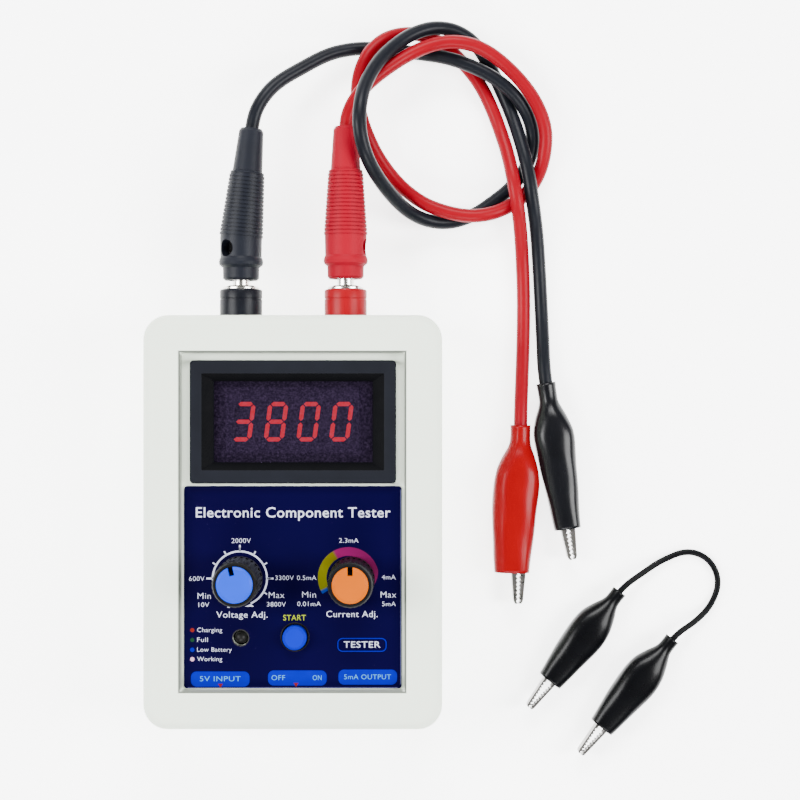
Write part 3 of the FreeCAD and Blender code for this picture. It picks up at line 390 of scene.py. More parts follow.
# where each cord lies, from its plug or clip to its clip, in mm
blackRoute = [
    (-10.98, 90.97, 15), (-10.50, 95.95, 15), (-8.7, 100.6, 14.6), (-5.0, 105.4, 12.9), (1.7, 109.9, 9.8),
    (7.4, 113.4, 7.4), (12.8, 115.0, 5.5), (17.7, 115.4, 4.6), (23.4, 114.9, 4.2), (29.5, 114.2, 4.2),
    (37.4, 112.8, 5.6), (45.8, 109.5, 6.0), (52.7, 104.8, 5.3), (57.3, 98.7, 2.9), (58.4, 92.3, 1.75),
    (56.6, 86.4, 1.75), (52.7, 81.2, 1.75), (47.9, 77.5, 1.75), (43.2, 74.3, 1.75), (37.5, 72.4, 2.2),
    (31.8, 72.7, 4.3), (26.6, 74.9, 8.0), (21.2, 80.0, 14.3), (17.2, 86.0, 20.1), (15.4, 92.4, 22.0),
    (15.5, 98.7, 21.4), (16.8, 104.7, 18.2), (20.0, 110.7, 14.6), (24.4, 115.5, 11.0), (29.3, 118.8, 8.6),
    (34.2, 120.2, 6.7), (39.2, 119.6, 5.4), (43.9, 116.7, 3.8), (47.5, 111.2, 1.9), (50.2, 105.6, 1.75),
    (52.9, 99.2, 2.2), (54.9, 92.5, 4.3), (56.5, 85.7, 6.1), (57.8, 77.3, 6.0), (59.0, 69.7, 3.2),
    (59.7, 60.4, 1.75), (60.2, 50.5, 1.75), (60.5, 42.5, 2.9), (60.62, 35.96, 4.3), (61.34, 31.22, 4.3)]
redRoute = [
    (12.0, 91.5, 15), (12.0, 95.5, 15), (13.1, 99.3, 14.9), (15.5, 103.1, 14.3), (19.0, 106.7, 13.0),
    (22.8, 109.8, 11.4), (26.9, 112.7, 9.9), (32.7, 115.4, 9.4), (39.0, 116.3, 9.5), (45.9, 114.6, 8.5),
    (52.8, 109.3, 7.0), (58.2, 102.9, 6.0), (61.2, 95.9, 5.0), (61.0, 89.4, 4.0), (59.4, 83.9, 2.6),
    (56.3, 79.4, 2.5), (52.0, 76.3, 3.8), (47.3, 74.3, 5.5), (41.8, 73.7, 6.1), (35.4, 75.1, 5.5),
    (30.0, 77.4, 5.3), (24.6, 81.7, 5.8), (20.2, 87.2, 7.6), (17.5, 92.2, 9.5), (15.7, 97.0, 10.3),
    (14.6, 102.4, 10.3), (15.0, 107.8, 9.9), (17.0, 112.8, 9.4), (20.1, 116.3, 8.2), (23.9, 118.4, 6.4),
    (28.6, 119.1, 4.6), (33.0, 118.2, 3.3), (37.5, 115.5, 2.2), (41.5, 111.5, 1.75), (45.0, 107.0, 1.75),
    (47.8, 101.3, 1.75), (50.1, 95.0, 2.4), (51.7, 89.3, 4.6), (52.8, 83.3, 7.0), (53.9, 76.9, 7.3),
    (54.8, 70.7, 5.0), (55.4, 63.8, 2.4), (55.8, 54.7, 1.75), (55.7, 43.5, 1.75), (55.3, 33.6, 2.8),
    (54.9, 25.8, 4.3), (54.83, 20.8, 4.3)]
jumperRoute = [
    (77.74, -20.68, 4.0), (80.2, -17.53, 4.0), (84.8, -14.6, 2.4), (90.0, -11.3, 0.85), (96.7, -8.6, 0.85),
    (102.2, -10.9, 0.85), (104.7, -16.4, 0.85), (102.6, -22.4, 0.85), (98.4, -26.4, 2.0), (93.29, -29.24, 4.0),
    (90.78, -32.35, 4.0)]


def smoothLine(name, route):
    data = bpy.data.curves.new(name, "CURVE")
    data.dimensions = "3D"
    data.resolution_u = 10
    spline = data.splines.new("NURBS")
    spline.points.add(len(route) - 1)
    for point, place in zip(spline.points, route):
        point.co = (*metres(*place), 1.0)
    spline.order_u = 3
    spline.use_endpoint_u = True
    obj = bpy.data.objects.new(name, data)
    bpy.context.scene.collection.objects.link(obj)
    bpy.context.view_layer.update()
    mesh = bpy.data.meshes.new_from_object(obj.evaluated_get(bpy.context.evaluated_depsgraph_get()))
    path = [v.co.copy() for v in mesh.vertices]
    bpy.data.objects.remove(obj)
    bpy.data.curves.remove(data)
    bpy.data.meshes.remove(mesh)
    return path


def sweptTube(name, path, radius, material, sides=20):
    verts, faces = [], []
    side = None
    for i, here in enumerate(path):
        ahead = (path[min(i + 1, len(path) - 1)] - path[max(i - 1, 0)]).normalized()
        if side is None:
            side = ahead.cross(Vector((0, 0, 1))).normalized()
        side = (side - ahead * side.dot(ahead)).normalized()
        other = ahead.cross(side)
        for k in range(sides):
            a = 2 * math.pi * k / sides
            verts.append(here + (side * math.cos(a) + other * math.sin(a)) * radius)
    for i in range(len(path) - 1):
        for k in range(sides):
            a, b = i * sides + k, i * sides + (k + 1) % sides
            faces.append((a, b, b + sides, a + sides))
    verts += [path[0], path[-1]]
    last = (len(path) - 1) * sides
    for k in range(sides):
        faces.append((len(verts) - 2, (k + 1) % sides, k))
        faces.append((len(verts) - 1, last + k, last + (k + 1) % sides))
    return pieceFromParts(name, verts, faces, material)


leads = {
    "black": {"route": blackRoute, "radius": 0.00168, "finish": "cordBlack", "slot": "black_wire"},
    "red": {"route": redRoute, "radius": 0.00168, "finish": "cordRed", "slot": "red_wire"},
    "jumper": {"route": jumperRoute, "radius": 0.00076, "finish": "thinBlack", "slot": "black_wire"}}
cordPieces, cordPaths = {}, {}
for lead, spec in leads.items():
    path = smoothLine(lead + "Line", spec["route"])
    cordPaths[lead] = path
    cordPieces[lead] = sweptTube(lead + "Cord", path, spec["radius"], finishes[spec["finish"]])
    print("cord", lead, "length %.4f" % sum((b - a).length for a, b in zip(path, path[1:])))

# soft boots: sections along each boot as (distance, shift, half width, half thickness)
clips = {
    "red_clip": {"neck": (54.85, 22.4), "tip": (54.2, -21.1), "height": 4.3, "cord": 1.72, "finish": "bootRed",
                 "slot": "red_boot", "parent": "tester", "jaw": "red_jaw", "mouth": 36.3, "size": 1.0,
                 "rows": [(0, 0, 2.5, 2.5), (2.5, 0, 2.45, 2.45), (5, -0.1, 2.75, 2.7), (8, -0.35, 4.1, 3.6),
                          (11.3, -0.6, 5.2, 4.1), (16, -0.9, 5.7, 4.15), (24, -1.3, 5.3, 4.0),
                          (30, -1.5, 4.85, 3.8), (36.3, -1.6, 4.3, 3.6)]},
    "black_clip": {"neck": (61.1, 32.8), "tip": (67.6, -10.5), "height": 4.3, "cord": 1.72, "finish": "leadBootSheen",
                   "slot": "black_boot", "parent": "tester", "jaw": "black_jaw", "mouth": 36.3, "size": 1.0,
                   "rows": [(0, 0, 2.4, 2.4), (2.5, 0, 2.3, 2.3), (5, 0, 2.45, 2.45), (8.5, 0, 3.9, 3.6),
                            (12.5, 0, 4.95, 4.1), (18, 0, 4.75, 4.1), (26, 0, 4.1, 3.8), (31, 0, 3.65, 3.6),
                            (36.3, 0, 3.25, 3.4)]},
}
smallRows = [(0, 0, 1.85, 1.85), (1.8, 0, 1.8, 1.8), (3.6, 0, 2.0, 2.0), (6.4, 0, 3.3, 2.8), (9.5, 0, 4.4, 3.5),
             (13.5, 0, 4.75, 3.75), (18.5, 0, 4.35, 3.6), (23.5, 0, 3.7, 3.2), (28.0, 0, 3.1, 2.8)]
for name, neck, tip in (("jumper_clip_a", (79.34, -18.63), (56.96, -47.23)),
                        ("jumper_clip_b", (92.41, -30.33), (69.64, -58.5))):
    clips[name] = {"neck": neck, "tip": tip, "height": 4.0, "cord": 0.80, "finish": "bootSmall", "slot": "black_boot",
                   "parent": "jumper_lead", "jaw": "jumper_jaw_" + name[-1], "mouth": 28.0, "size": 0.83,
                   "rows": smallRows}


def clipHeading(spec):
    (nx, ny), (tx, ty) = spec["neck"], spec["tip"]
    return math.atan2(ty - ny, tx - nx)


def clipPlace(spec):
    return (Matrix.Translation(metres(*spec["neck"], spec["height"]))
            @ Matrix.Rotation(clipHeading(spec), 4, "Z"))


def smoothRow(rows, a):  # a smooth curve through the sections
    for i in range(len(rows) - 1):
        if a <= rows[i + 1][0] or i == len(rows) - 2:
            break
    p0, p1, p2, p3 = rows[max(i - 1, 0)], rows[i], rows[i + 1], rows[min(i + 2, len(rows) - 1)]
    t = (a - p1[0]) / (p2[0] - p1[0])
    out = []
    for k in (1, 2, 3):
        m1 = (p2[k] - p0[k]) / (p2[0] - p0[0]) * (p2[0] - p1[0]) if p2[0] != p0[0] else 0
        m2 = (p3[k] - p1[k]) / (p3[0] - p1[0]) * (p2[0] - p1[0]) if p3[0] != p1[0] else 0
        out.append((2 * t ** 3 - 3 * t ** 2 + 1) * p1[k] + (t ** 3 - 2 * t ** 2 + t) * m1
                   + (-2 * t ** 3 + 3 * t ** 2) * p2[k] + (t ** 3 - t ** 2) * m2)
    return out


def bootShell(name, spec, around=48, steps=56, wall=0.55):
    place = clipPlace(spec)
    verts, faces, rings = [], [], []

    def ring(a, inset, squareness):
        shift, halfW, halfT = smoothRow(spec["rows"], min(a, spec["mouth"]))
        halfW, halfT = halfW - inset, halfT - inset
        start = len(verts)
        for k in range(around):
            t = 2 * math.pi * k / around
            c, s = math.cos(t), math.sin(t)
            power = 2 / squareness
            w = math.copysign(abs(c) ** power, c) * halfW
            h = math.copysign(abs(s) ** power, s) * halfT
            ripple = 1 + 0.012 * math.sin(3 * t + a * 0.5) * min(1, a / 8)
            verts.append(place @ metres(a, shift + w * ripple, h * (1 if h < 0 else ripple)))
        rings.append(start)

    mouth = spec["mouth"]
    for i in range(steps + 1):
        a = mouth * i / steps
        square = 2.0 + 0.75 * max(0, min(1, (a - 6) / 6))
        ring(a, 0.0, square)
    ring(mouth + 0.05, wall * 0.5, 2.75)
    for i in range(steps, -1, -1):
        a = mouth * i / steps
        square = 2.0 + 0.75 * max(0, min(1, (a - 6) / 6))
        full = smoothRow(spec["rows"], a)
        inset = wall if a > 5 else max(wall, min(full[1], full[2]) - spec["cord"])
        ring(a, inset, square)
    count = len(rings)
    for i in range(count):
        a, b = rings[i], rings[(i + 1) % count]
        for k in range(around):
            n = (k + 1) % around
            faces.append((a + k, a + n, b + n, b + k))
    return pieceFromParts(name, verts, faces, finishes[spec["finish"]])


boots = {}
for name, spec in clips.items():
    boots[name] = bootShell(name.replace("_clip", "").replace("_", "") + "Boot", spec)
print("boots:", len(boots))

# one bent wire in each clip: a leg under the lower jaw, a coil round the rivet, a leg under the upper jaw
springShape = {"pivot": 22.0, "coil": 1.0, "wire": 0.18, "rise": 1.2, "turns": 2.5, "legLength": 9.0,
               "legSpread": 1.45, "legSteps": 8, "turnSteps": 60}
springs = {}
for name, spec in clips.items():
    place = clipPlace(spec)
    size, half, coil = spec["size"], springShape["rise"] / 2, springShape["coil"]
    legSteps, turnSteps = springShape["legSteps"], springShape["turnSteps"]
    leg = [(-springShape["legLength"] * k / legSteps, coil + springShape["legSpread"] * k / legSteps)
           for k in range(1, legSteps + 1)]
    points = [(x, -y, -half) for x, y in reversed(leg)]
    for k in range(turnSteps + 1):
        t = k / turnSteps
        angle = -math.pi / 2 + 2 * math.pi * springShape["turns"] * t
        points.append((coil * math.cos(angle), coil * math.sin(angle), -half + 2 * half * t))
    points += [(x, y, half) for x, y in leg]
    wire = [place @ metres((springShape["pivot"] + x) * size, y * size, z * size) for x, y, z in points]
    springs[name] = sweptTube(name.replace("_clip", "").replace("_", "") + "Spring", wire,
                              springShape["wire"] * size * 0.001, finishes["springWire"], 10)
print("springs:", len(springs))

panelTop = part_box("control_panel")[1][2]
inkHeight = 0.000012


def wordMesh(text, x, y, height, width, align="CENTER", weight=-0.010, lift=0.0):
    data = bpy.data.curves.new("word", "FONT")
    data.body = text
    data.align_x, data.align_y = "LEFT", "CENTER"
    data.space_character = 1.06
    data.offset = weight
    data.resolution_u = 3
    obj = bpy.data.objects.new("word", data)
    bpy.context.scene.collection.objects.link(obj)
    bpy.context.view_layer.update()
    mesh = bpy.data.meshes.new_from_object(obj.evaluated_get(bpy.context.evaluated_depsgraph_get()))
    bpy.data.objects.remove(obj)
    places = [v.co.x for v in mesh.vertices]
    low, wide = min(places), max(places) - min(places)
    begin = x if align == "LEFT" else x - width / 2
    mesh.transform(Matrix.Translation((begin * 0.001, y * 0.001, panelTop + lift))
                   @ Matrix.Diagonal((width * 0.001 / wide, height * 0.001 / 0.70, 1, 1))
                   @ Matrix.Translation((-low, 0, 0)))
    return thicken(mesh)


def thicken(mesh):  # flat ink becomes a thin closed plate
    bm = bmesh.new()
    bm.from_mesh(mesh)
    bmesh.ops.remove_doubles(bm, verts=bm.verts, dist=1e-7)
    bmesh.ops.recalc_face_normals(bm, faces=bm.faces)
    for f in bm.faces:
        if f.normal.z < 0:
            f.normal_flip()
    base = list(bm.faces)
    out = bmesh.ops.extrude_face_region(bm, geom=base)
    lifted = [v for v in out["geom"] if isinstance(v, bmesh.types.BMVert)]
    bmesh.ops.translate(bm, verts=lifted, vec=(0, 0, inkHeight))
    bmesh.ops.recalc_face_normals(bm, faces=bm.faces)
    bm.to_mesh(mesh)
    bm.free()
    return mesh


def plateMesh(outline, x=0.0, y=0.0, lift=0.0):
    mesh = bpy.data.meshes.new("plate")
    mesh.from_pydata([((x + px) * 0.001, (y + py) * 0.001, panelTop + lift) for px, py in outline], [],
                     [tuple(range(len(outline)))])
    return thicken(mesh)


def discOutline(r, n=32):
    turns = [2 * math.pi * k / n for k in range(n)]
    return [(r * math.cos(a), r * math.sin(a)) for a in turns]


def pillOutline(w, h, r, n=8):
    out = []
    for cx, cy, start in ((w / 2 - r, h / 2 - r, 0), (-w / 2 + r, h / 2 - r, 90), (-w / 2 + r, -h / 2 + r, 180),
                          (w / 2 - r, -h / 2 + r, 270)):
        for k in range(n + 1):
            a = math.radians(start + 90 * k / n)
            out.append((cx + r * math.cos(a), cy + r * math.sin(a)))
    return out


def ringMesh(x, y, inner, outer, start=0.0, end=360.0, taper=None, n=96):
    verts, faces = [], []
    closed = abs(end - start) >= 360
    steps = n if closed else n + 1
    for i in range(steps):
        t = i / n
        a = math.radians(start + (end - start) * t)
        ro = outer if taper is None else taper(t, inner, outer)
        for r in (inner, ro):
            verts.append(((x + r * math.cos(a)) * 0.001, (y + r * math.sin(a)) * 0.001, panelTop))
    for i in range(n):
        j = (i + 1) % steps
        faces.append((2 * i, 2 * i + 1, 2 * j + 1, 2 * j))
    mesh = bpy.data.meshes.new("ring")
    mesh.from_pydata(verts, [], faces)
    return thicken(mesh)


def frameMesh(outer, inner, x, y):
    n = len(outer)
    verts = [((x + px) * 0.001, (y + py) * 0.001, panelTop) for px, py in outer + inner]
    faces = [(i, (i + 1) % n, n + (i + 1) % n, n + i) for i in range(n)]
    mesh = bpy.data.meshes.new("frame")
    mesh.from_pydata(verts, [], faces)
    return thicken(mesh)


voltageScale = {"centre": (-12.4, -13.2), "radius": 6.35, "line": 0.42}
words = {  # text, x, y, cap height, width, alignment, weight, lift
    "printWhite": [
        ("Electronic Component Tester", 0.1, 2.15, 2.4, 45.6, "CENTER", 0.007),
        ("2000V", -12.1, -4.4, 1.15, 4.5), ("600V", -22.5, -13.3, 1.1, 3.6), ("3300V", -1.95, -13.1, 1.1, 4.3),
        ("Min", -20.75, -17.35, 1.45, 3.1), ("10V", -20.85, -19.4, 1.1, 2.5), ("Max", -3.8, -17.15, 1.45, 3.65),
        ("3800V", -3.85, -19.3, 1.1, 4.4), ("Voltage Adj.", -11.9, -21.75, 1.48, 12.0, "CENTER", -0.002),
        ("0.5mA", 3.25, -13.1, 1.1, 4.55), ("2.3mA", 13.1, -4.35, 1.1, 4.55), ("4mA", 22.45, -12.95, 1.1, 3.25),
        ("Min", 3.8, -17.05, 1.45, 3.25), ("0.01mA", 3.8, -19.2, 1.1, 5.5), ("Max", 22.4, -17.05, 1.45, 3.65),
        ("5mA", 22.5, -19.2, 1.1, 3.2), ("Current Adj.", 13.85, -21.6, 1.48, 12.0, "CENTER", -0.002),
        ("Charging", -22.4, -25.3, 1.05, 5.85, "LEFT"), ("Full", -22.4, -27.6, 1.05, 2.5, "LEFT"),
        ("Low Battery", -22.4, -29.9, 1.05, 8.1, "LEFT"), ("Working", -22.4, -32.1, 1.05, 5.85, "LEFT"),
        ("TESTER", 16.2, -28.75, 1.5, 8.6, "CENTER", 0.002)],
    "printYellow": [("START", 0.4, -22.45, 1.3, 5.3, "CENTER", 0.004)],
    "printCyan": [("5V INPUT", -17.0, -36.75, 1.2, 9.6, "CENTER", 0.0, inkHeight),
                  ("OFF", -3.4, -36.5, 1.2, 3.2, "CENTER", 0.0, inkHeight),
                  ("ON", 5.7, -36.5, 1.2, 2.1, "CENTER", 0.0, inkHeight),
                  ("5mA OUTPUT", 17.5, -36.3, 1.15, 11.0, "CENTER", 0.0, inkHeight)]}
printAndHighlightMeshes = {ink: [wordMesh(*w) for w in rows] for ink, rows in words.items()}
vx, vy = voltageScale["centre"]
vr, vl = voltageScale["radius"], voltageScale["line"]
printAndHighlightMeshes["printWhite"] += [ringMesh(vx, vy, vr - vl / 2, vr + vl / 2, 186, -66)]
printAndHighlightMeshes["printWhite"] += [plateMesh([(1.2, -6.6), (3.25, -6.6), (2.6, -5.95)], vx, vy, inkHeight),
                              plateMesh([(-2.9, -6.85), (-2.4, -6.85), (-2.4, -6.6), (-2.9, -6.6)], vx, vy)]
printAndHighlightMeshes["printBlue"] = [plateMesh(pillOutline(13.7, 3.5, 1.3), x, y) for x, y in
                            ((-17.0, -36.75), (1.05, -36.5), (17.55, -36.3))]
badge = (16.2, -28.75)
printAndHighlightMeshes["printBlue"] += [frameMesh(pillOutline(11.5, 3.2, 1.2), pillOutline(11.1, 2.8, 1.0), *badge)]
printAndHighlightMeshes["printRed"] = [plateMesh(discOutline(0.5), -23.55, -25.3)]
printAndHighlightMeshes["printRed"] += [plateMesh([(-0.6, 0.45), (0.6, 0.45), (0.0, -0.5)], x, y, inkHeight) for x, y in
                            ((-16.95, -38.3), (0.75, -38.1))]
# painted highlight: thin light strips along the panel's right and bottom edges, where the edge catches the light
printAndHighlightMeshes["panelEdgeHighlight"] = [plateMesh([(0, 0), (0.16, 0), (0.16, 45.6), (0, 45.6)], 25.2, -38.0),
                            plateMesh([(0, 0), (49.2, 0), (49.2, 0.14), (0, 0.14)], -24.6, -38.85)]
printAndHighlightMeshes["printGreen"] = [plateMesh(discOutline(0.5), -23.55, -27.6)]
printAndHighlightMeshes["printBlue"] += [plateMesh(discOutline(0.5), -23.55, -29.9)]
printAndHighlightMeshes["printPink"] = [plateMesh(discOutline(0.5), -23.55, -32.1)]
cx, cy = currentScale["centre"]


def bandTaper(t, inner, outer):
    return outer if t < 0.78 else outer - (outer - inner - 0.1) * ((t - 0.78) / 0.22) ** 1.2


bandMesh = ringMesh(cx, cy, currentScale["inner"], currentScale["outer"], 212, -42, bandTaper)
band = joinMeshes("currentBand", [bandMesh], finishes["band"])


def dialTicks(name, centre, spec, material):
    # tick marks set round an arc, then made real
    group = bpy.data.node_groups.new(name, "GeometryNodeTree")
    identifiers = {}
    for label in ("Count", "Radius", "Sweep", "Start", "Length", "Width"):
        kind = "NodeSocketInt" if label == "Count" else "NodeSocketFloat"
        identifiers[label] = group.interface.new_socket(label, in_out="INPUT", socket_type=kind).identifier
    group.interface.new_socket("Geometry", in_out="OUTPUT", socket_type="NodeSocketGeometry")
    n, l = group.nodes, group.links
    given, out = n.new("NodeGroupInput"), n.new("NodeGroupOutput")
    arc = n.new("GeometryNodeCurveArc")
    l.new(given.outputs["Count"], arc.inputs["Resolution"])
    l.new(given.outputs["Radius"], arc.inputs["Radius"])
    l.new(given.outputs["Start"], arc.inputs["Start Angle"])
    l.new(given.outputs["Sweep"], arc.inputs["Sweep Angle"])
    points = n.new("GeometryNodeCurveToPoints")
    points.mode = "EVALUATED"
    l.new(arc.outputs["Curve"], points.inputs["Curve"])
    size = n.new("ShaderNodeCombineXYZ")
    l.new(given.outputs["Length"], size.inputs["X"])
    l.new(given.outputs["Width"], size.inputs["Y"])
    size.inputs["Z"].default_value = inkHeight
    bar = n.new("GeometryNodeMeshCube")
    l.new(size.outputs["Vector"], bar.inputs["Size"])
    place = n.new("GeometryNodeInputPosition")
    turned = n.new("FunctionNodeAlignEulerToVector")
    turned.axis = "X"
    l.new(place.outputs["Position"], turned.inputs["Vector"])
    spread = n.new("GeometryNodeInstanceOnPoints")
    l.new(points.outputs["Points"], spread.inputs["Points"])
    l.new(bar.outputs["Mesh"], spread.inputs["Instance"])
    l.new(turned.outputs["Rotation"], spread.inputs["Rotation"])
    shift = n.new("GeometryNodeTransform")
    shift.inputs["Translation"].default_value = (centre[0] * 0.001, centre[1] * 0.001, panelTop + inkHeight / 2)
    l.new(spread.outputs["Instances"], shift.inputs["Geometry"])
    real = n.new("GeometryNodeRealizeInstances")
    l.new(shift.outputs["Geometry"], real.inputs["Geometry"])
    dress = n.new("GeometryNodeSetMaterial")
    dress.inputs["Material"].default_value = material
    l.new(real.outputs["Geometry"], dress.inputs["Geometry"])
    l.new(dress.outputs["Geometry"], out.inputs["Geometry"])
    holder = bpy.data.objects.new(name, bpy.data.meshes.new(name + "Seed"))
    bpy.context.scene.collection.objects.link(holder)
    modifier = holder.modifiers.new("ticks", "NODES")
    modifier.node_group = group
    for label, identifier in identifiers.items():
        modifier[identifier] = spec[label.lower()]
    bpy.context.view_layer.update()
    mesh = bpy.data.meshes.new_from_object(holder.evaluated_get(bpy.context.evaluated_depsgraph_get()))
    bpy.data.objects.remove(holder)
    return mesh


longTicks = {"count": 3, "radius": (vr + 0.75) * 0.001, "start": 0.0, "sweep": math.pi, "length": 0.0015,
             "width": 0.0004}
shortTicks = {"count": 7, "radius": (vr + 0.55) * 0.001, "start": math.radians(-30), "sweep": math.pi,
              "length": 0.0009, "width": 0.0003}
tickMeshes = [dialTicks("longTicks", (vx, vy), longTicks, finishes["printWhite"]),
              dialTicks("shortTicks", (vx, vy), shortTicks, finishes["printWhite"])]
printAndHighlightMeshes["printWhite"] += tickMeshes
printAndHighlightPieces = [joinMeshes(ink + "Marks", meshes, finishes[ink]) for ink, meshes in printAndHighlightMeshes.items()] + [band]
print("print pieces:", len(printAndHighlightPieces))

digits = {"height": 9.3, "width": 4.75, "pitch": 7.68, "stroke": 1.0, "slant": math.radians(7.5),
          "firstX": -11.72, "midY": 23.5, "gap": 0.17, "shown": "3800"}
segmentsOn = {"0": "abcdef", "3": "abgcd", "8": "abcdefg"}
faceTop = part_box("led_display")[1][2]


def segmentMesh(cxm, cym, kind):
    w, h, s, g = digits["width"] / 2, digits["height"] / 2, digits["stroke"], digits["gap"]
    half = s / 2
    wi, hi = w - half, h - half
    across = {"a": hi, "g": 0.0, "d": -hi}
    if kind in across:
        y = across[kind]
        pts = [(-wi + g, y), (-wi + half + g, y + half), (wi - half - g, y + half), (wi - g, y),
               (wi - half - g, y - half), (-wi + half + g, y - half)]
    else:
        x = wi if kind in "bc" else -wi
        y0, y1 = (0.0, hi) if kind in "bf" else (-hi, 0.0)
        pts = [(x, y0 + g), (x + half, y0 + half + g), (x + half, y1 - half - g), (x, y1 - g),
               (x - half, y1 - half - g), (x - half, y0 + half + g)]
    lean = math.tan(digits["slant"])
    verts = [((cxm + px + py * lean) * 0.001, (cym + py) * 0.001, faceTop) for px, py in pts]
    top = [(x, y, faceTop + 0.00008) for x, y, _ in verts]
    n = len(pts)
    faces = [tuple(range(n))[::-1], tuple(range(n, 2 * n))]
    faces += [(i, (i + 1) % n, n + (i + 1) % n, n + i) for i in range(n)]
    mesh = bpy.data.meshes.new("segment")
    mesh.from_pydata(verts + top, [], faces)
    return mesh


lit, unlit = [], []
for i, figure in enumerate(digits["shown"]):
    for kind in "abcdefg":
        mesh = segmentMesh(digits["firstX"] + i * digits["pitch"], digits["midY"], kind)
        (lit if kind in segmentsOn[figure] else unlit).append(mesh)
    stop = bpy.data.meshes.new("point")
    cxm = digits["firstX"] + i * digits["pitch"] + 3.0
    rim = [((cxm + px) * 0.001, (digits["midY"] - 4.2 + py) * 0.001) for px, py in discOutline(0.42, 16)]
    stop.from_pydata([(*c, faceTop) for c in rim] + [(*c, faceTop + 0.00006) for c in rim], [],
                     [tuple(range(16))[::-1], tuple(range(16, 32))]
                     + [(k, (k + 1) % 16, 16 + (k + 1) % 16, 16 + k) for k in range(16)])
    unlit.append(stop)
digitPieces = [joinMeshes("digitsLit", lit, finishes["digitLit"]),
               joinMeshes("digitsUnlit", unlit, finishes["digitDark"])]
print("digits:", digits["shown"])

# meter bezel: rounded outer edge, sloped sides, housing behind
bezelRings = [  # width, length, height, corner radius
    (48.2, 28.8, 27.0, 0.9), (48.2, 28.8, 29.0, 0.9), (48.12, 28.72, 29.25, 0.9), (47.9, 28.5, 29.47, 0.85),
    (47.5, 28.1, 29.6, 0.7), (43.0, 23.0, 29.6, 0.3), (42.6, 22.6, 29.52, 0.25), (37.4, 19.2, 28.35, 0.15),
    (37.2, 19.0, 28.25, 0.15), (37.2, 19.0, 27.2, 0.15), (41.8, 23.4, 27.2, 0.15), (41.8, 23.4, 16.5, 0.15),
    (44.2, 25.8, 16.5, 0.4), (44.2, 25.8, 27.0, 0.4)]
verts, faces = [], []
for w, l, z, r in bezelRings:
    verts += [metres(0.1 + px, 23.5 + py, z) for px, py in pillOutline(w, l, r, 6)]
rim = len(verts) // len(bezelRings)
for i in range(len(bezelRings)):
    j = (i + 1) % len(bezelRings)
    for k in range(rim):
        n = (k + 1) % rim
        faces.append((i * rim + k, i * rim + n, j * rim + n, j * rim + k))
bezel = pieceFromParts("meterBezel", verts, faces, finishes["bezel"])
# the inner slopes round the window get the darker copy of the bezel plastic as painted shade
bezel.data.materials.append(finishes["bezelSlopeShade"])
for p in bezel.data.polygons:
    c = p.center
    if 0.0283 < c.z < 0.0295 and abs(c.x - 0.0001) < 0.0212 and abs(c.y - 0.0235) < 0.0112:
        p.material_index = 1
bezel.data.set_sharp_from_angle(angle=math.radians(28))

def collarRing(name, x, y, inner, outer, height, material, n=64):
    profile = [(inner, 0.0), (outer, 0.0), (outer, height * 0.7), (outer - 0.06, height), (inner + 0.06, height),
               (inner, height * 0.7)]
    verts, faces = [], []
    for i in range(n):
        a = 2 * math.pi * i / n
        verts += [((x + r * math.cos(a)) * 0.001, (y + r * math.sin(a)) * 0.001, panelTop + z * 0.001)
                  for r, z in profile]
    m = len(profile)
    for i in range(n):
        for k in range(m):
            a, b = i * m + k, i * m + (k + 1) % m
            c, d = ((i + 1) % n) * m + (k + 1) % m, ((i + 1) % n) * m + k
            faces.append((a, b, c, d))
    return pieceFromParts(name, verts, faces, material)


lampRing = collarRing("lampRing", -12.2, -27.1, 1.80, 2.0, 0.08, finishes["ringGrey"])
startRing = collarRing("startRing", 0.5, -26.9, 3.05, 3.42, 0.08, finishes["knob"])

def lathe(name, x, z, profile, material, n=96):  # profile: (radius, y), closed, turned round the socket axis
    verts, faces, m = [], [], len(profile)
    for i in range(n):
        a = 2 * math.pi * i / n
        verts += [metres(x + r * math.cos(a), y, z + r * math.sin(a)) for r, y in profile]
    for i in range(n):
        for k in range(m):
            a, b, j = i * m + k, i * m + (k + 1) % m, (i + 1) % n
            faces.append((a, b, j * m + (k + 1) % m, j * m + k))
    obj = pieceFromParts(name, verts, faces, material)
    obj.data.set_sharp_from_angle(angle=math.radians(35))
    return obj


socketBody = [(3.02, 42.98), (3.9, 42.98), (3.95, 43.1), (3.95, 48.5), (5.1, 48.5), (5.1, 52.7), (4.98, 52.8),
              (4.98, 53.05), (5.1, 53.15), (5.1, 54.75), (5.0, 55.05), (4.75, 55.2), (3.02, 55.2)]
sleeveBody = [(2.05, 38.5), (3.0, 38.5), (3.0, 55.25), (4.22, 55.25), (4.3, 55.33), (4.3, 55.68), (4.1, 55.8),
              (3.3, 56.1), (3.1, 56.15), (2.2, 56.15), (2.05, 56.0)]
socketX = {"black": -13.2, "red": 12.0}
socketPieces = {}
for side, x in socketX.items():
    socketPieces[side] = lathe(side + "Socket", x, 15.0, socketBody, finishes["sock" + side.capitalize()])
sleeveParts = [lathe("sleeve" + side, x, 15.0, sleeveBody, finishes["nickel"]) for side, x in socketX.items()]
sleeves = joinMeshes("socketSleeves", [o.data for o in sleeveParts], finishes["nickel"], True)
sleeves.data.set_sharp_from_angle(angle=math.radians(35))
for o in sleeveParts:
    bpy.data.objects.remove(o)

# what moves with what
for piece in printAndHighlightPieces + digitPieces + [lampRing, startRing, bezel]:
    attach(piece, "tester")
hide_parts("meter_bezel")

for side, piece in socketPieces.items():
    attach(piece, "tester")
    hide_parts(side + "_socket")
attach(sleeves, "tester")
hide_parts("socket_sleeves")

# the new boots and springs are fixed in place and take the place of the CAD boots and springs
for name, spec in clips.items():
    boot, heading = boots[name], clipHeading(spec)
    neck = metres(*spec["neck"], spec["height"])
    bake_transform(boot)
    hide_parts(name + "_boot")
    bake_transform(springs[name])
    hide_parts(name + "_spring")
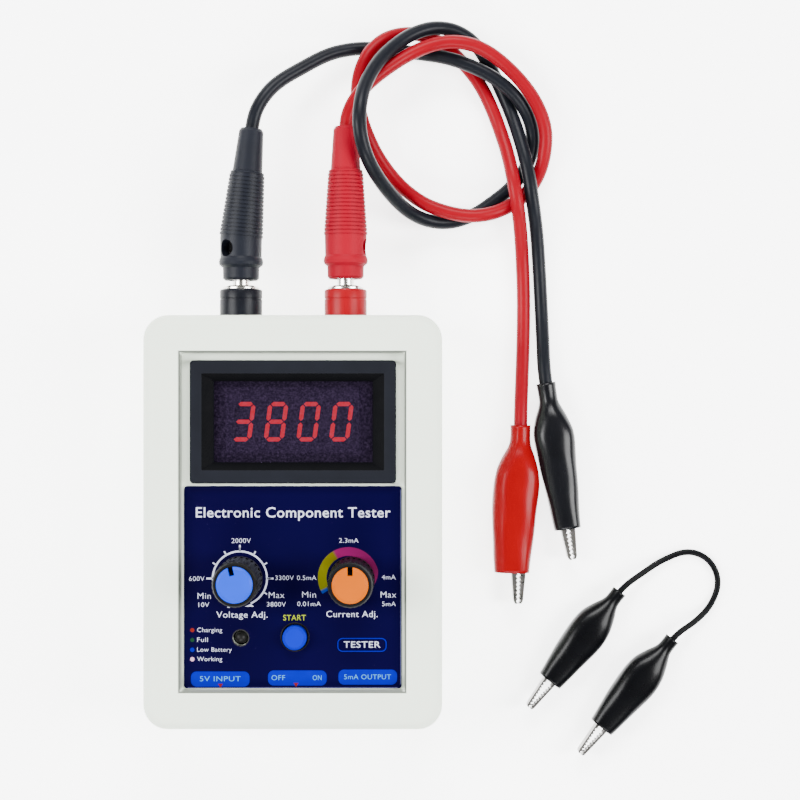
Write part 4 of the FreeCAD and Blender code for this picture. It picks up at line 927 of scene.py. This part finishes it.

# cord end places for a pulled plug, still at "start" and all the way at "end"; nothing below reads them, the cords
# are only fixed in place
cordBend = {"black": {"start": (0.014, 0.1, 0.015), "end": (-0.0098, 0.1, 0.015)},
            "red": {"start": (0.042, 0.1, 0.012), "end": (0.0125, 0.1, 0.012)}}
for lead, bend in cordBend.items():
    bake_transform(cordPieces[lead])
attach(cordPieces["jumper"], "jumper_lead")
for lead, spec in leads.items():
    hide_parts(lead + "_cord")


for lead, clip in (("black", "black_clip"), ("red", "red_clip")):
    path = cordPaths[lead]
path = cordPaths["jumper"]
print("bodies assigned")

floorMat, _, floorShader, _ = newFinish("paleFloor")
floorTone = {"base": 0.92, "glow": 3.2}
floorShader.inputs["Base Color"].default_value = (floorTone["base"],) * 3 + (1,)
floorShader.inputs["Roughness"].default_value = 0.9
floorShader.inputs["Specular IOR Level"].default_value = 0.1
floorShader.inputs["Emission Color"].default_value = (1, 1, 1, 1)
floorShader.inputs["Emission Strength"].default_value = floorTone["glow"]
floorMesh = bpy.data.meshes.new("floor")
floorMesh.from_pydata([(-3, -3, -0.0002), (3, -3, -0.0002), (3, 3, -0.0002), (-3, 3, -0.0002)], [], [(0, 1, 2, 3)])
floor = pieceFromMesh("floor", floorMesh, floorMat, False)

studio = {"worldStrength": 0.12, "radiance": 34.0}
world = bpy.data.worlds.new("studioWorld")
world.use_nodes = True
world.node_tree.nodes["Background"].inputs["Color"].default_value = (1, 1, 1, 1)
world.node_tree.nodes["Background"].inputs["Strength"].default_value = studio["worldStrength"]
bpy.context.scene.world = world


def softbox(name, place, target, size, share=1.0):
    data = bpy.data.lights.new(name, "AREA")
    data.shape = "RECTANGLE"
    data.size, data.size_y = size
    data.energy = studio["radiance"] * share * math.pi * size[0] * size[1]
    obj = bpy.data.objects.new(name, data)
    obj.location = place
    obj.rotation_euler = (Vector(target) - Vector(place)).to_track_quat("-Z", "Y").to_euler()
    bpy.context.scene.collection.objects.link(obj)


middle = (0.03, 0.03, 0.0)
softbox("leftBox", (-0.62, 0.10, 0.62), middle, (0.30, 0.55))
softbox("rightBox", (0.70, 0.0, 0.62), middle, (0.30, 0.55))
softbox("backBox", (0.05, 0.72, 0.62), middle, (0.55, 0.28))
softbox("frontBox", (0.0, -0.66, 0.62), middle, (0.55, 0.28), 0.8)

print("studio ready")
